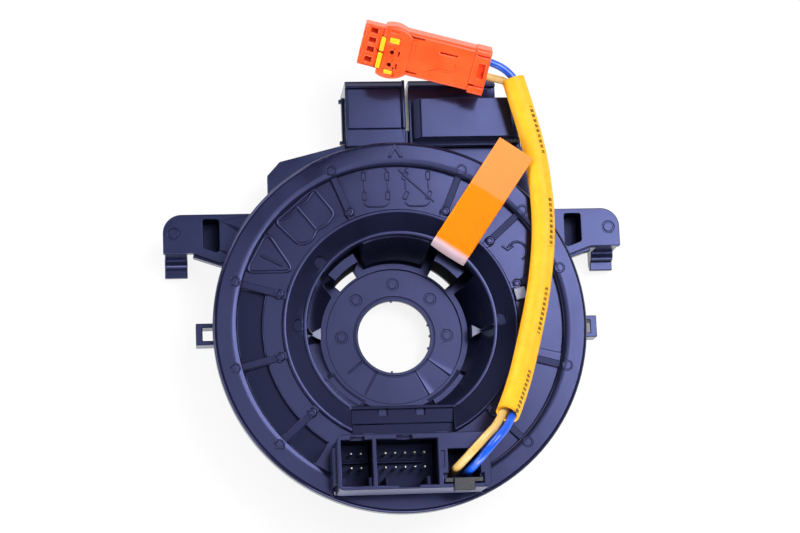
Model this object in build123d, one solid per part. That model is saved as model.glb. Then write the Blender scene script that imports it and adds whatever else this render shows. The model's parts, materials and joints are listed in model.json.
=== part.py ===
from build123d import *
import math
import os

# Steering clock spring: a fixed case that bolts behind the steering wheel, a rotor that turns with
# the wheel, a coiled ribbon cable between them, and the airbag lead with its connector.
# Millimetres. The origin is on the steering axis at the rear face of the hub floor, +Z points at the
# driver and +Y up the column. The part rests on the plane z = REST_Z.

# ---------------------------------------------------------------- driving dimensions
REST_Z = -4.0

# rotor disc, the round face that the driver's side shows
DISC_R = 50.0
RIM_INNER_R = 43.7
RIM_CHAMFER = 1.3
PANEL_INNER_R = 31.5
OPENING_R = 25.2
RIM_Z = 22.5
PANEL_Z = 20.5
DISC_UNDER_Z = 18.6
SKIRT_Z = 17.7
WALL = 1.6
RIB_ANGLES = (18.6, 42.1, 67.0, 112.5, 164.2, 193.6, 223.1, 315.2, 344.8)
RIB_WIDTH = 1.9
BAR_ANGLE = 347.2               # wide bar beside the last rib
SUNKEN_R = (37.0, 43.2)         # outer part of three sectors that lies deeper than the panel
SUNKEN_ANGLES = ((165.8, 191.9), (195.3, 221.4), (224.8, 236.5))
DIMPLES = ((27.3, 140.0), (27.2, 178.6), (27.0, 2.8))
FLAT_Y = -21.2                  # chord that cuts the opening off in front of the connector
WINDOW_ANGLES = ((34, 67), (113, 146))
FOOT_SLOT_ANGLES = ((210, 244), (296, 330))

# hub, drum and bearing
BORE_R = 10.0
FLOOR_R = 19.2
FLOOR_TOP_Z = 2.0
WEB_Z = (0.9, 2.6)
FLANGE_R = 31.0
DRUM_R = (27.0, 28.4)
DRUM_TOP_Z = 18.3
BEARING_CLEARANCE = 0.1
CAM_R = (12.4, 16.6)

# case
CASE_R = (45.5, 47.2)
CASE_Z = (5.0, 18.1)
COVER_Z = (3.0, 5.0)
FLANGE_Z = (8.0, 10.5)
EAR_X = 62.6
EAR_Y = (22.7, 33.3)
SLOT_X = (47.4, 51.8)
HOOK_X = (56.0, 62.2)
LATCH_ANGLES = (13, 167, 270, 322)

# steering-side connector, x, y and z spans
HOUSING_X = (-19.3, 20.2)
HOUSING_Y = (-45.0, -30.6)
HOUSING_Z = (PANEL_Z, 37.0)
SOCKET_FLOOR_Z = 24.0
SMALL_SOCKET_X = (-18.2, -10.3)
LARGE_SOCKET_X = (-9.1, 6.6)
SOCKET_Y = (-43.9, -32.1)
WIRE_SLOT_X = (9.2, 17.4)
WIRE_SLOT_Y = (-43.8, -35.0)
PIN_PITCH = 2.54
PIN_SIDE = 0.64
PIN_ROWS_Y = (-38.7, -35.0)

# column-side connectors
LEFT_BOX_X = (-12.2, 4.2)
RIGHT_BOX_X = (5.2, 36.6)
RIGHT_REAR_X = 29.3
HOOD_Y = (52.2, 63.2)
HOOD_Z = 18.0
BOX_Y = (51.0, 69.4)
BOX_Z = 13.2

# airbag lead and connector
WIRE_D = 2.1
SLEEVE_R = (2.4, 3.1)
CONNECTOR_AT = (8.24, 71.18, 28.9)  # middle of its upper face
CONNECTOR_TURN = -14.9
CONNECTOR_ROLL = 27.0
CONNECTOR_HALF = 17.46
CONNECTOR_DEPTH = 8.4
CAP_U = 13.15                   # where the rear cap begins along the connector
TERMINAL_V = (-3.6, -1.2)
WIRE_V = (-1.41, 2.69)          # where the yellow and the blue wire enter the cap, across it
WIRE_W = -4.2

# routes of the lead, each point chosen by hand: two wires leave the housing, arch over its edge and
# run side by side through the sleeve to the connector's rear face
SLEEVE_ROUTE = (
    (24.8, -26.6, 38.9), (28.2, -20.0, 34.7), (32.6, -6.8, 30.2), (37.0, 9.2, 26.8),
    (39.2, 26.0, 25.8), (38.2, 42.0, 25.8), (36.0, 54.0, 25.2), (32.7, 66.2, 25.0),
)
YELLOW_START = (
    (10.9, -40.3, 24.0), (10.9, -40.3, 34.8), (12.1, -39.1, 39.2), (14.6, -36.5, 42.6),
    (18.4, -32.6, 43.6), (22.2, -29.0, 40.6),
)
BLUE_START = (
    (14.3, -41.0, 24.0), (14.3, -41.0, 34.8), (15.4, -39.8, 39.2), (17.7, -37.2, 42.6),
    (21.1, -33.3, 43.6), (24.6, -29.9, 40.7),
)
YELLOW_END = ((32.9, 60.6, 25.1), (31.2, 65.6, 24.9), (28.0, 66.59, 24.52), (23.28, 67.85, 24.52))
BLUE_END = ((35.4, 61.3, 25.4), (32.7, 66.8, 25.9), (28.28, 70.3, 26.38), (24.22, 71.38, 26.38))


# ---------------------------------------------------------------- helpers
def block(x, y, z):
    """A box that fills the (low, high) spans x, y and z."""
    spans = [(min(s), max(s)) for s in (x, y, z)]
    centre = [(low + high) / 2 for low, high in spans]
    return Pos(*centre) * Box(*[high - low for low, high in spans])


def ring(radii, z):
    """A flat-ended ring about the steering axis, radii (inner, outer), between two heights."""
    height = z[1] - z[0]
    middle = Pos(0, 0, (z[0] + z[1]) / 2)
    solid = middle * Cylinder(radii[1], height)
    if radii[0] > 0:
        solid -= middle * Cylinder(radii[0], height)
    return solid


def slice_of(angles, z, reach=60.0):
    """A wedge of pie between two angles in degrees, less than 120 apart."""
    low, high = (math.radians(a) for a in angles)
    far = reach / math.cos((high - low) / 2)
    tips = [(0, 0), (far * math.cos(low), far * math.sin(low)), (far * math.cos(high), far * math.sin(high))]
    return Pos(0, 0, z[0]) * extrude(make_face(Polyline(*tips, close=True)), z[1] - z[0])


def arc_bar(radii, angles, z):
    """The part of a ring between two angles."""
    return ring(radii, z) & slice_of(angles, z)


def polar(radius, angle):
    """The x and y of a point at a radius and an angle in degrees."""
    return radius * math.cos(math.radians(angle)), radius * math.sin(math.radians(angle))


def spun(edges):
    """The solid of revolution of a closed profile drawn as (radius, height)."""
    return revolve(Plane.XZ * make_face(edges), Axis.Z)


def prism(points, z, rounding=0.0):
    """A flat plate of a polygonal outline between two heights, its corners rounded."""
    outline = make_face(Polyline(*points, close=True))
    if rounding:
        outline = fillet(outline.vertices(), rounding)
    return Pos(0, 0, z[0]) * extrude(outline, z[1] - z[0])


def mirrored(solid):
    """The same solid on the other side of the vertical middle plane."""
    return mirror(solid, Plane.YZ)


# ---------------------------------------------------------------- rotor
def funnel_wall(depth, top_z, foot_z):
    """Profile edges of the funnel's inner surface moved inwards by a depth, from the top to the foot."""
    shape = [(25.1, 18.4), (24.4, 13.5), (22.6, 7.6), (21.2, 4.4)]
    upper, lower = (shape[0][0] - depth, top_z), (shape[-1][0] - depth, foot_z)
    return Spline(upper, *[(r - depth, z) for r, z in shape[1:-1]], lower)


def make_rotor_disc():
    """Face disc with its rim, recessed panel, ribs and funnel, moulded in one."""
    lip_z = PANEL_Z - 0.9
    profile = [
        Polyline((DISC_R, SKIRT_Z), (DISC_R, RIM_Z - 1.2)),
        RadiusArc((DISC_R, RIM_Z - 1.2), (DISC_R - 1.2, RIM_Z), -1.2),
        Polyline(
            (DISC_R - 1.2, RIM_Z), (RIM_INNER_R + RIM_CHAMFER, RIM_Z), (RIM_INNER_R, RIM_Z - 0.6),
            (RIM_INNER_R - 0.2, PANEL_Z), (PANEL_INNER_R + 0.3, PANEL_Z),
            (PANEL_INNER_R, PANEL_Z + 1.1), (PANEL_INNER_R - 0.7, PANEL_Z + 1.1),
            (OPENING_R + 0.9, lip_z), (OPENING_R, lip_z),
        ),
        Spline((OPENING_R, lip_z), (24.4, 13.5), (22.6, 7.6), (20.2, WEB_Z[1])),
        Line((20.2, WEB_Z[1]), (22.0, WEB_Z[1])),
        Spline((22.0, WEB_Z[1]), (24.2, 7.4), (25.8, 13.2), (OPENING_R + WALL, DISC_UNDER_Z)),
        Polyline(
            (OPENING_R + WALL, DISC_UNDER_Z), (RIM_INNER_R + 0.6, DISC_UNDER_Z),
            (RIM_INNER_R + 1.9, RIM_Z - WALL), (DISC_R - WALL, RIM_Z - WALL), (DISC_R - WALL, SKIRT_Z),
            (DISC_R, SKIRT_Z),
        ),
    ]
    disc = spun(profile)

    # raised wall between the two windows, that stands 0.6 mm into the funnel
    inner = funnel_wall(0.6, 18.2, 5.0)
    backing = Polyline(inner @ 1, (22.6, 5.0), (25.3, 13.3), (25.9, 18.2), inner @ 0)
    disc += spun([inner, backing]) & slice_of((WINDOW_ANGLES[0][1] + 1, WINDOW_ANGLES[1][0] - 1), (2, 19))

    # the flat shelf between the opening's chord and the connector, with its sunken, stepped well
    shelf = ring((0, OPENING_R + 0.5), (11.0, lip_z)) & block((-16, 16), (-26, FLAT_Y), (11.0, lip_z))
    disc += shelf
    well_x = (-13.9, 13.2)
    disc -= block(well_x, (HOUSING_Y[1] - 0.6, -26.0), (lip_z - 1.0, RIM_Z))
    disc -= block(well_x, (-26.2, FLAT_Y - 1.0), (lip_z - 0.5, RIM_Z))
    for x in ((-6.6, -4.4), (3.4, 5.6)):
        disc -= block(x, (FLAT_Y - 2.6, FLAT_Y - 0.9), (lip_z - 1.4, lip_z))

    # windows that the hub's latches come up through, and slots round its lower bars
    for angles in WINDOW_ANGLES:
        disc -= arc_bar((19.0, OPENING_R + 1.2), angles, (WEB_Z[1], 16.4))
    for angles in FOOT_SLOT_ANGLES:
        disc -= arc_bar((19.0, 23.4), angles, (WEB_Z[1], 5.6))

    # pointers at both sides of the well, each a wedge on the foot with a thin ridge up to the lip
    wedge = prism([(20.5, -1.8), (23.8, 0.0), (20.5, 1.8)], (WEB_Z[1], 9.0))
    ridge = extrude(Plane.XZ * make_face(Polyline(
        (22.4, 8.0), (24.6, lip_z - 0.2), (25.8, lip_z - 0.2), (24.2, 8.0), close=True)), 0.25, both=True)
    for side in (0, 180):
        disc += Rot(0, 0, side) * (wedge + ridge)

    # deeper outer sectors of the panel, and the thin edge round the inner strip beside them
    for low, high in SUNKEN_ANGLES:
        disc -= arc_bar(SUNKEN_R, (low, high), (PANEL_Z - 0.8, RIM_Z))
        disc += arc_bar((SUNKEN_R[0] - 0.5, SUNKEN_R[0]), (low, high), (PANEL_Z - 0.8, PANEL_Z + 0.25))

    # radial ribs across the panel, each with a domed boss at its inner end and a round one on the rim
    rib_span = (PANEL_INNER_R - 0.3, RIM_INNER_R + 0.9)
    rib = block(rib_span, (-RIB_WIDTH / 2, RIB_WIDTH / 2), (PANEL_Z - 0.9, PANEL_Z + 1.0))
    dome = Cylinder(1.35, 1.9)
    dome = fillet(dome.edges().group_by(Axis.Z)[-1], 0.55) - Pos(0, 0, 0.95) * Cylinder(0.5, 0.5)
    rib += Pos(33.4, 0, PANEL_Z + 0.45) * dome
    rib += Pos(45.6, 0, RIM_Z - 0.7) * (Cylinder(1.5, 1.8) - Pos(0, 0, 0.9) * Cylinder(0.9, 0.4))
    for angle in RIB_ANGLES:
        disc += Rot(0, 0, angle) * rib
    disc += Rot(0, 0, BAR_ANGLE) * block(rib_span, (-1.5, 1.5), (PANEL_Z - 0.3, PANEL_Z + 0.5))
    disc += Rot(0, 0, 14.0) * block((31.9, 35.0), (-1.7, 1.5), (PANEL_Z - 0.3, PANEL_Z + 1.3))

    # ejector dimples in the sloping ring
    for dimple in DIMPLES:
        disc -= Pos(*polar(*dimple), RIM_Z) * Cylinder(1.55, 2 * (RIM_Z - PANEL_Z + 0.8))

    # hollow arrow on the rim at the top, that shows straight ahead
    arrow = [(-2.1, 45.6), (-0.2, 49.3), (0.2, 49.3), (2.1, 45.6), (1.1, 45.6), (0.0, 47.7), (-1.1, 45.6)]
    disc += prism(arrow, (RIM_Z - 0.4, RIM_Z + 0.5))

    # seat of the steering-side connector
    disc -= block(HOUSING_X, HOUSING_Y, (PANEL_Z, RIM_Z + 2))
    return disc


def make_rotor_hub():
    """Floor with the shaft bore, drum that the ribbon winds on, flange behind the case and latches."""
    hub = ring((BORE_R, FLOOR_R), (0, FLOOR_TOP_Z))
    hub += ring((FLOOR_R - 0.6, FLANGE_R), WEB_Z)
    hub += ring(DRUM_R, (WEB_Z[0], DRUM_TOP_Z))
    for angles in WINDOW_ANGLES:
        middle = sum(angles) / 2
        hub -= arc_bar((FLOOR_R + 0.1, 21.3), (middle - 9, middle + 9), (0, WEB_Z[1]))
        finger = arc_bar((21.4, 22.9), (middle - 11, middle + 11), (WEB_Z[0], 13.6))
        catch = arc_bar((22.8, 24.2), (middle - 11, middle + 11), (11.6, 13.6))
        hub += finger + catch
    for angles in FOOT_SLOT_ANGLES:
        hub += arc_bar((20.3, 21.9), (angles[0] + 2, angles[1] - 2), (WEB_Z[0], 4.6))
    for angle in (0, 45, 90, 135, 180):
        mark = Pos(*polar(14.5, angle), FLOOR_TOP_Z) * Cylinder(1.6, 0.4)
        hub -= mark - Pos(*polar(14.5, angle), FLOOR_TOP_Z) * Cylinder(1.2, 0.4)
    for angle, reach in ((217, 16.2), (241.5, 18.0), (298.5, 18.9), (323, 18.9)):
        groove = block((BORE_R + 1.2, reach), (-0.15, 0.15), (FLOOR_TOP_Z - 0.3, FLOOR_TOP_Z))
        hub -= Rot(0, 0, angle) * groove
    hub -= ring((BORE_R + 0.9, BORE_R + 1.15), (FLOOR_TOP_Z - 0.3, FLOOR_TOP_Z))
    # stiffening ribs on the rear, between the floor and the flange's edge
    for angle in range(0, 360, 24):
        hub += Rot(0, 0, angle) * block((22.2, FLANGE_R - 0.6), (-0.5, 0.5), (0.1, WEB_Z[0]))
    return hub


def make_cancel_cam():
    """Ring behind the hub with two lobes that cancel the turn signal lever."""
    cam = ring(CAM_R, (REST_Z, 0))
    for angle in (90, 270):
        lobe = Pos(*polar(17.0, angle), REST_Z / 2) * Box(2.6, 7.0, -REST_Z)
        cam += fillet(lobe.edges().filter_by(Axis.Z), 1.1)
    for angle in (0, 180):
        cam -= Rot(0, 0, angle) * block((CAM_R[1] - 1.4, CAM_R[1] + 1), (-2, 2), (REST_Z, REST_Z + 1.6))
    return cam


def spiral_faces(start_r, end_r, turns, thickness):
    """A band of even pitch made of half circles whose centres step from side to side."""
    pitch = (end_r - start_r) / turns
    bands = []
    for half in range(int(turns * 2)):
        radius = start_r + pitch * half / 2 + pitch / 4
        centre = (pitch / 4 if half % 2 else -pitch / 4, 0)
        outer, inner = Circle(radius + thickness / 2), Circle(radius - thickness / 2)
        side = Rectangle(2 * end_r, end_r, align=(Align.CENTER, Align.MAX if half % 2 else Align.MIN))
        bands.append(Pos(*centre) * ((outer - inner) & side))
    return bands


def make_ribbon_cable():
    """Flat ribbon cable wound loosely between the drum and the case."""
    band = Sketch() + spiral_faces(30.4, 42.6, 5, 0.5)
    return Pos(0, 0, 6.2) * extrude(band, 10.8)


def make_ribbon_inner_clip():
    """Block on the drum that holds the ribbon's inner end."""
    return arc_bar((DRUM_R[1], 29.7), (262, 278), (6.0, 17.4))


def make_ribbon_outer_clip():
    """Block on the case wall that holds the ribbon's outer end."""
    return arc_bar((43.6, CASE_R[0]), (84, 96), (6.0, 17.0))


def make_steering_housing():
    """Steering-side connector housing: two sockets and the chamber that the airbag wires leave."""
    housing = block(HOUSING_X, HOUSING_Y, HOUSING_Z)
    housing = fillet(housing.edges().filter_by(Axis.Z), 1.6)
    front = HOUSING_Z[1]
    for span in (SMALL_SOCKET_X, LARGE_SOCKET_X):
        housing -= block(span, SOCKET_Y, (SOCKET_FLOOR_Z, front))
    housing -= block(WIRE_SLOT_X, WIRE_SLOT_Y, (SOCKET_FLOOR_Z, front))
    housing -= block((7.9, 18.3), (-43.8, -41.3), (front - 2.4, front))

    # polarising keys on the lower walls, and notches in the upper lip
    for x in (-18.2, -11.4, -7.1, 3.6):
        housing += block((x, x + 1.0), (SOCKET_Y[0] - 0.2, -41.6), (SOCKET_FLOOR_Z, front - 1.0))
    for x in ((-15.7, -12.3), (-3.8, 0.0)):
        housing -= block(x, (-32.3, -31.2), (front - 3.0, front))
    # ledge between the pin rows of each socket, and a finger notch in the large one's lower lip
    for x in (SMALL_SOCKET_X, (LARGE_SOCKET_X[0], LARGE_SOCKET_X[1] - 3.0)):
        housing += block(x, (-37.2, -36.5), (SOCKET_FLOOR_Z, SOCKET_FLOOR_Z + 2.0))
    housing -= block((-3.6, 1.6), (SOCKET_Y[0] - 0.5, SOCKET_Y[0]), (front - 5.0, front))
    # retaining steps on the upper wall that lock the housing into the disc
    for x in ((-12.0, -9.2), (6.7, 9.9)):
        housing += block(x, (HOUSING_Y[1], HOUSING_Y[1] + 0.8), (RIM_Z + 0.4, front - 3.5))
    # rib on the left wall, slots in the bottom wall, and the mould's slit beside the wire chamber
    housing += block((HOUSING_X[0] - 1.0, HOUSING_X[0]), (-43.0, -33.6), (RIM_Z + 0.3, front - 4.0))
    for x in ((-16.8, -13.4), (-4.2, 1.2)):
        housing -= block(x, (HOUSING_Y[0], HOUSING_Y[0] + 0.5), (front - 3.2, front - 2.2))
    housing -= block((7.4, 8.2), (-39.5, -35.5), (front - 0.4, front))
    return housing


def pin_columns():
    """The x of each pin in the small and the large socket."""
    small = [-15.3 + PIN_PITCH * i for i in range(2)]
    large = [-6.4 + PIN_PITCH * i for i in range(5)]
    return small + large


def make_steering_pins():
    """Square contact pins of both steering-side sockets."""
    pins = []
    for x in pin_columns():
        for y in PIN_ROWS_Y:
            pin = Pos(x, y, 26.0) * Box(PIN_SIDE, PIN_SIDE, 10.0)
            pins.append(chamfer(pin.faces().sort_by(Axis.Z)[-1].edges(), 0.18))
    return Compound(children=pins)


def make_wire_clamp():
    """Clip across the chamber's mouth that holds the two wires."""
    front = HOUSING_Z[1]
    clamp = block((8.1, 18.1), (-43.6, -42.3), (front - 2.2, front - 0.1))
    clamp += block((10.4, 15.8), (-45.8, -42.4), (front - 2.2, front + 0.9))
    clamp -= block((11.6, 14.6), (-45.9, -44.6), (front - 2.3, front + 0.1))
    housing_wall = block((10.4, 15.8), (HOUSING_Y[0], -43.8), (front - 3, front))
    return clamp - housing_wall


# ---------------------------------------------------------------- airbag lead
def beside(route, offset):
    """The same route moved sideways in plan, to the left of its direction for a positive offset."""
    moved = []
    for i, (x, y, z) in enumerate(route):
        before, after = route[max(i - 1, 0)], route[min(i + 1, len(route) - 1)]
        dx, dy = after[0] - before[0], after[1] - before[1]
        length = math.hypot(dx, dy)
        moved.append((x - offset * dy / length, y + offset * dx / length, z))
    return moved


def corner_radii(route):
    """The largest radius that each corner of a route has room for."""
    points = [Vector(*p) for p in route]
    radii = []
    for before, here, after in zip(points, points[1:], points[2:]):
        turn = math.radians((here - before).get_angle(after - here))
        shorter = min((here - before).length, (after - here).length)
        radii.append(0.45 * shorter / math.tan(turn / 2))
    return radii


def tube(name, route, radius, hollow=0.0):
    """A round tube along straight runs joined by tangent arcs; prints its radii and its volume's error."""
    radii = corner_radii(route)
    path = FilletPolyline(*route, radius=radii)
    start = Plane(origin=path @ 0, z_dir=path % 0)
    solid = sweep(start * Circle(radius), path=path)
    if hollow:
        solid -= sweep(start * Circle(hollow), path=path)
    section = math.pi * (radius ** 2 - hollow ** 2)
    print(name, "length", round(path.length, 1), "radii", [round(r, 1) for r in radii],
          "volume ratio", round(solid.volume / (section * path.length), 4))
    return solid


def wire_route(start, offset, end):
    """Route of one wire: out of the housing, beside the sleeve's middle line and into the connector."""
    return list(start) + beside(SLEEVE_ROUTE, offset)[1:-1] + list(end)


def connector_frame(solid):
    """Moves a solid drawn in the connector's own frame to its place beside the case.

    There u runs from the nose to the wires, v across and w up, with w = 0 on the upper face."""
    return Pos(*CONNECTOR_AT) * Rot(0, 0, CONNECTOR_TURN) * Rot(CONNECTOR_ROLL, 0, 0) * solid


def make_airbag_body():
    """Airbag connector body: nose with test windows, round collar over the lock and flat barrel."""
    low = -CONNECTOR_DEPTH
    nose = block((-CONNECTOR_HALF, -11.0), (-5.8, 5.4), (low, -1.0))
    nose = fillet(nose.edges().filter_by(Axis.X).group_by(Axis.Y)[-1], 1.0)
    collar = Pos(-9.0, -0.5, (low + 1.2) / 2) * Cylinder(7.2, 0.4 - (low + 0.8))
    collar = fillet(collar.edges().group_by(Axis.Z)[-1], 0.7)
    collar &= block((-12.0, -4.1), (-8, 7), (low, 1))
    barrel = block((-6.5, CAP_U), (-5.7, 6.0), (low, 0))
    barrel = fillet(barrel.edges().filter_by(Axis.X).group_by(Axis.Y)[0], 0.7)
    barrel = fillet(barrel.edges().filter_by(Axis.X).group_by(Axis.Y)[-1], 1.2)
    body = barrel + nose + collar

    # test windows in the nose, and steps in its front edge
    for v in (3.95, 1.35, -1.2, -4.0):
        body -= block((-15.65, -13.8), (v - 0.7, v + 0.7), (-3.4, 0))
    for v in (2.6, -2.6):
        body -= block((-CONNECTOR_HALF, -CONNECTOR_HALF + 0.6), (v - 0.9, v + 0.9), (-6.0, 0))
    # well for the lock, with a slot for each of its tabs
    body -= lock_plate((low + 2.0, -1.4), 0.15)
    body -= lock_tabs((low + 2.0, 1.0), 0.1)
    body -= block((-10.2, -7.8), (4.9, 5.7), (0.0, 1.0))
    for v in (-0.47, -3.87):
        body -= Pos(-8.86, v, 0) * Cylinder(0.55, 4)
        body -= block((-7.2, -6.7), (v - 0.8, v + 0.7), (-1, 1))
    # cavities of the two contacts
    for v in TERMINAL_V:
        body -= block((-10.7, CAP_U), (v - 0.7, v + 0.7), (low + 0.7, low + 1.9))
    # slit, thin mould marks and the raised corner mark on the barrel
    body -= block((3.75, 8.6), (2.4, 2.8), (-1.5, 0))
    for v in (4.85, -4.65):
        body -= block((-4.5, -1.1), (v - 0.15, v + 0.15), (-1.0, 0))
    body += block((3.9, 8.7), (-2.2, -1.8), (-0.2, 0.3))
    body += block((8.3, 8.7), (-2.0, 0.3), (-0.2, 0.3))
    body += block((-3.6, -3.0), (-2.4, 2.9), (-0.2, 0.25))
    return body


def lock_plate(w, grow=0.0):
    """The base of the lock, grown by a clearance where a well is cut for it."""
    plate = Pos(-9.0, -1.4, (w[0] + w[1]) / 2) * Cylinder(4.9 + grow, w[1] - w[0])
    return plate & block((-12.45 - grow, -6.3 + grow), (-8, 6), w)


def lock_tabs(w, grow=0.0):
    """Four tabs of the lock: two bars on the nose side, one above and one below."""
    spans = [
        ((-12.45, -11.2), (-0.7, 3.1)),
        ((-12.45, -11.2), (-5.4, -1.2)),
        ((-10.2, -7.45), (2.0, 3.5)),
        ((-10.0, -7.6), (-6.4, -5.3)),
    ]
    tabs = Part()
    for (low_u, high_u), (low_v, high_v) in spans:
        tabs += block((low_u - grow, high_u + grow), (low_v - grow, high_v + grow), w)
    return tabs


def make_airbag_lock():
    """Yellow lock that is pushed down into the airbag connector."""
    low = -CONNECTOR_DEPTH
    return lock_plate((low + 2.1, low + 3.4)) + lock_tabs((low + 2.1, 0.6))


def make_airbag_cap():
    """Rear cap of the airbag connector with its two wire entries."""
    low = -CONNECTOR_DEPTH
    cap = block((CAP_U, CONNECTOR_HALF), (-6.25, 6.25), (low, 0.3))
    cap = fillet(cap.edges().filter_by(Axis.X).group_by(Axis.Y)[0], 0.7)
    cap = fillet(cap.edges().filter_by(Axis.X).group_by(Axis.Y)[-1], 1.2)
    cap -= block((14.7, 16.5), (-1.7, 2.25), (-1.2, 1))
    cap -= block((CAP_U, 14.4), (-4.2, -3.7), (-1.4, 1))
    cap -= block((14.4, CONNECTOR_HALF), (-4.1, -3.8), (-0.3, 1))
    cap -= block((13.7, CONNECTOR_HALF), (4.2, 4.6), (-0.5, 1))
    middle = (14.3 + CONNECTOR_HALF) / 2
    for v in WIRE_V:
        hole = Cylinder(WIRE_D / 2 + 0.12, CONNECTOR_HALF - 14.3)
        cap -= Pos(middle, v, WIRE_W) * Rot(0, 90, 0) * hole
    return cap


def make_airbag_terminals():
    """The two contacts inside the airbag connector."""
    w = (-CONNECTOR_DEPTH + 0.8, -CONNECTOR_DEPTH + 1.8)
    pair = [block((-10.5, CAP_U), (v - 0.6, v + 0.6), w) for v in TERMINAL_V]
    return Compound(children=[connector_frame(t) for t in pair])


def make_locking_tape():
    """Stiff strip stuck in the opening that keeps the rotor from turning before it is fitted."""
    line = Polyline((24.0, 16.8), (24.4, 19.9), (25.5, 21.5), (27.6, 22.15), (31.9, 23.1), (56.2, 28.7))
    side = offset(line, 0.35, side=Side.LEFT)
    strip = extrude(Plane.XZ * make_face(side), 5.3, both=True)
    return Rot(0, 0, 55.2) * strip


# ---------------------------------------------------------------- stator
def ear_plate():
    """Right ear: flange plate with a blind locating pocket, a leg behind it and a hook at its tip."""
    low_y, high_y = EAR_Y
    outline = [(38, high_y), (EAR_X, high_y), (EAR_X, low_y), (54.4, low_y), (47.5, 20.2), (38, 20.2)]
    face = make_face(Polyline(*outline, close=True))
    corner = face.vertices().group_by(Axis.X)[-1].sort_by(Axis.Y)[-1]
    ear = Pos(0, 0, FLANGE_Z[0]) * extrude(fillet(corner, 5.0), FLANGE_Z[1] - FLANGE_Z[0])
    # step below the slanted edge, and the ejector ring on the face
    ear += prism([(46.0, 19.0), (54.6, 21.9), (54.4, low_y), (47.5, 21.6), (46.0, 21.6)],
                 (FLANGE_Z[0] - 2.5, FLANGE_Z[0] + 0.6))
    ring_mark = Cylinder(1.6, 0.5) - Cylinder(1.35, 0.5)
    ear -= Pos(59.5, 28.0, FLANGE_Z[1]) * ring_mark

    # blind pocket: its well hangs below the plate
    well_z = 3.6
    slot = [(SLOT_X[0], 32.0), (SLOT_X[1], 32.0), (SLOT_X[1], 24.2), (SLOT_X[0], 22.6)]
    well = [(46.0, 33.2), (53.2, 33.2), (53.2, 23.2), (50.5, 22.0), (46.0, 20.6)]
    ear += prism(well, (well_z - 1.2, FLANGE_Z[0]))
    ear -= prism(slot, (well_z, FLANGE_Z[1]), 0.8)

    # leg and hook, drawn from the side as (y, z): the nose's upper face rises to the leg in a curve
    tip = -1.0
    side = make_face([
        Polyline((low_y + 2.4, FLANGE_Z[0]), (low_y + 2.4, REST_Z), (19.6, REST_Z), (18.0, REST_Z + 1.6),
                 (18.0, tip), (20.2, tip)),
        RadiusArc((20.2, tip), (low_y, tip + 2.5), 2.5),
        Polyline((low_y, tip + 2.5), (low_y, FLANGE_Z[0]), (low_y + 2.4, FLANGE_Z[0])),
    ])
    leg = Pos(HOOK_X[0], 0, 0) * extrude(Plane.YZ * side, HOOK_X[1] - HOOK_X[0])
    gussets = Part()
    for x in (56.6, 60.6):
        gussets += block((x, x + 1.2), (low_y + 2.4, high_y - 5.2), (FLANGE_Z[0] - 3, FLANGE_Z[0]))
    return ear + leg + gussets


def locating_eye():
    """Right locating eye: a strap that stands off the case wall, open from front to back."""
    eye = block((46.0, 54.3), (-2.95, 2.95), (7.0, 13.0))
    eye -= block((46.0, 52.5), (-1.75, 1.75), (7.0, 13.0))
    return eye


def make_stator_case():
    """Case wall with both ears, hooks, locating eyes and the bracket that carries the connectors."""
    case = ring(CASE_R, CASE_Z)
    bracket = [
        (-34.0, 30.0), (-34.0, 43.8), (-30.6, 47.6), (-12.4, 52.2), (-12.4, 56.0), (37.0, 56.0),
        (39.2, 53.0), (42.3, 30.0),
    ]
    flange = prism(bracket, FLANGE_Z)
    ears = ear_plate() + locating_eye()
    case += flange + ears + mirrored(ears)
    # ribs under the flange, from the case wall out to the connectors
    for x in (-28.0, -20.0):
        case += block((x, x + 1.4), (34.0, 46.6), (FLANGE_Z[0] - 2.6, FLANGE_Z[0]))
    case -= ring((0, CASE_R[0]), (-5, 20))
    case -= block(LEFT_BOX_X, BOX_Y, FLANGE_Z)
    case -= block(RIGHT_BOX_X, (BOX_Y[0], HOOD_Y[1]), FLANGE_Z)
    for angle in LATCH_ANGLES:
        wedge = block((CASE_R[1] - 0.3, CASE_R[1] + 1.3), (-1.9, 1.9), (7.6, 9.6))
        case += Rot(0, 0, angle) * wedge
    return case


def make_back_cover():
    """Rear cover with the bearing hole and straps that snap over the case's wedges."""
    cover = ring((DRUM_R[1] + BEARING_CLEARANCE, CASE_R[1]), COVER_Z)
    # two rings and a spoke every 30 degrees stiffen its rear face
    rear = (COVER_Z[0] - 0.9, COVER_Z[0])
    cover += ring((FLANGE_R + 0.8, FLANGE_R + 2.0), rear) + ring((CASE_R[0] - 1.4, CASE_R[0] - 0.2), rear)
    for angle in range(15, 375, 30):
        cover += Rot(0, 0, angle) * block((FLANGE_R + 1.4, CASE_R[0] - 0.8), (-0.6, 0.6), rear)
    for angle in LATCH_ANGLES:
        foot = block((CASE_R[1] - 2.0, CASE_R[1] + 1.4), (-3.6, 3.6), COVER_Z)
        strap = block((CASE_R[1] + 0.15, CASE_R[1] + 1.4), (-3.6, 3.6), (COVER_Z[1], 11.6))
        strap -= block((CASE_R[1], CASE_R[1] + 2), (-2.1, 2.1), (7.4, 9.9))
        cover += Rot(0, 0, angle) * (foot + strap)
    return cover


def make_slip_sheet():
    """Low-friction film that the ribbon cable slides on."""
    return ring((29.2, 45.2), (COVER_Z[1], COVER_Z[1] + 0.3))


def rear_lip(x):
    """Lip along a column-side connector's far edge; its upper face slopes away to the rear."""
    y = BOX_Y[1]
    side = make_face(Polyline(
        (y - 2.1, 9.0), (y, 9.0), (y, BOX_Z - 0.4), (y - 1.7, BOX_Z + 1.2), (y - 2.1, BOX_Z + 1.2), close=True))
    return Pos(x[0], 0, 0) * extrude(Plane.YZ * side, x[1] - x[0])


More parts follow.
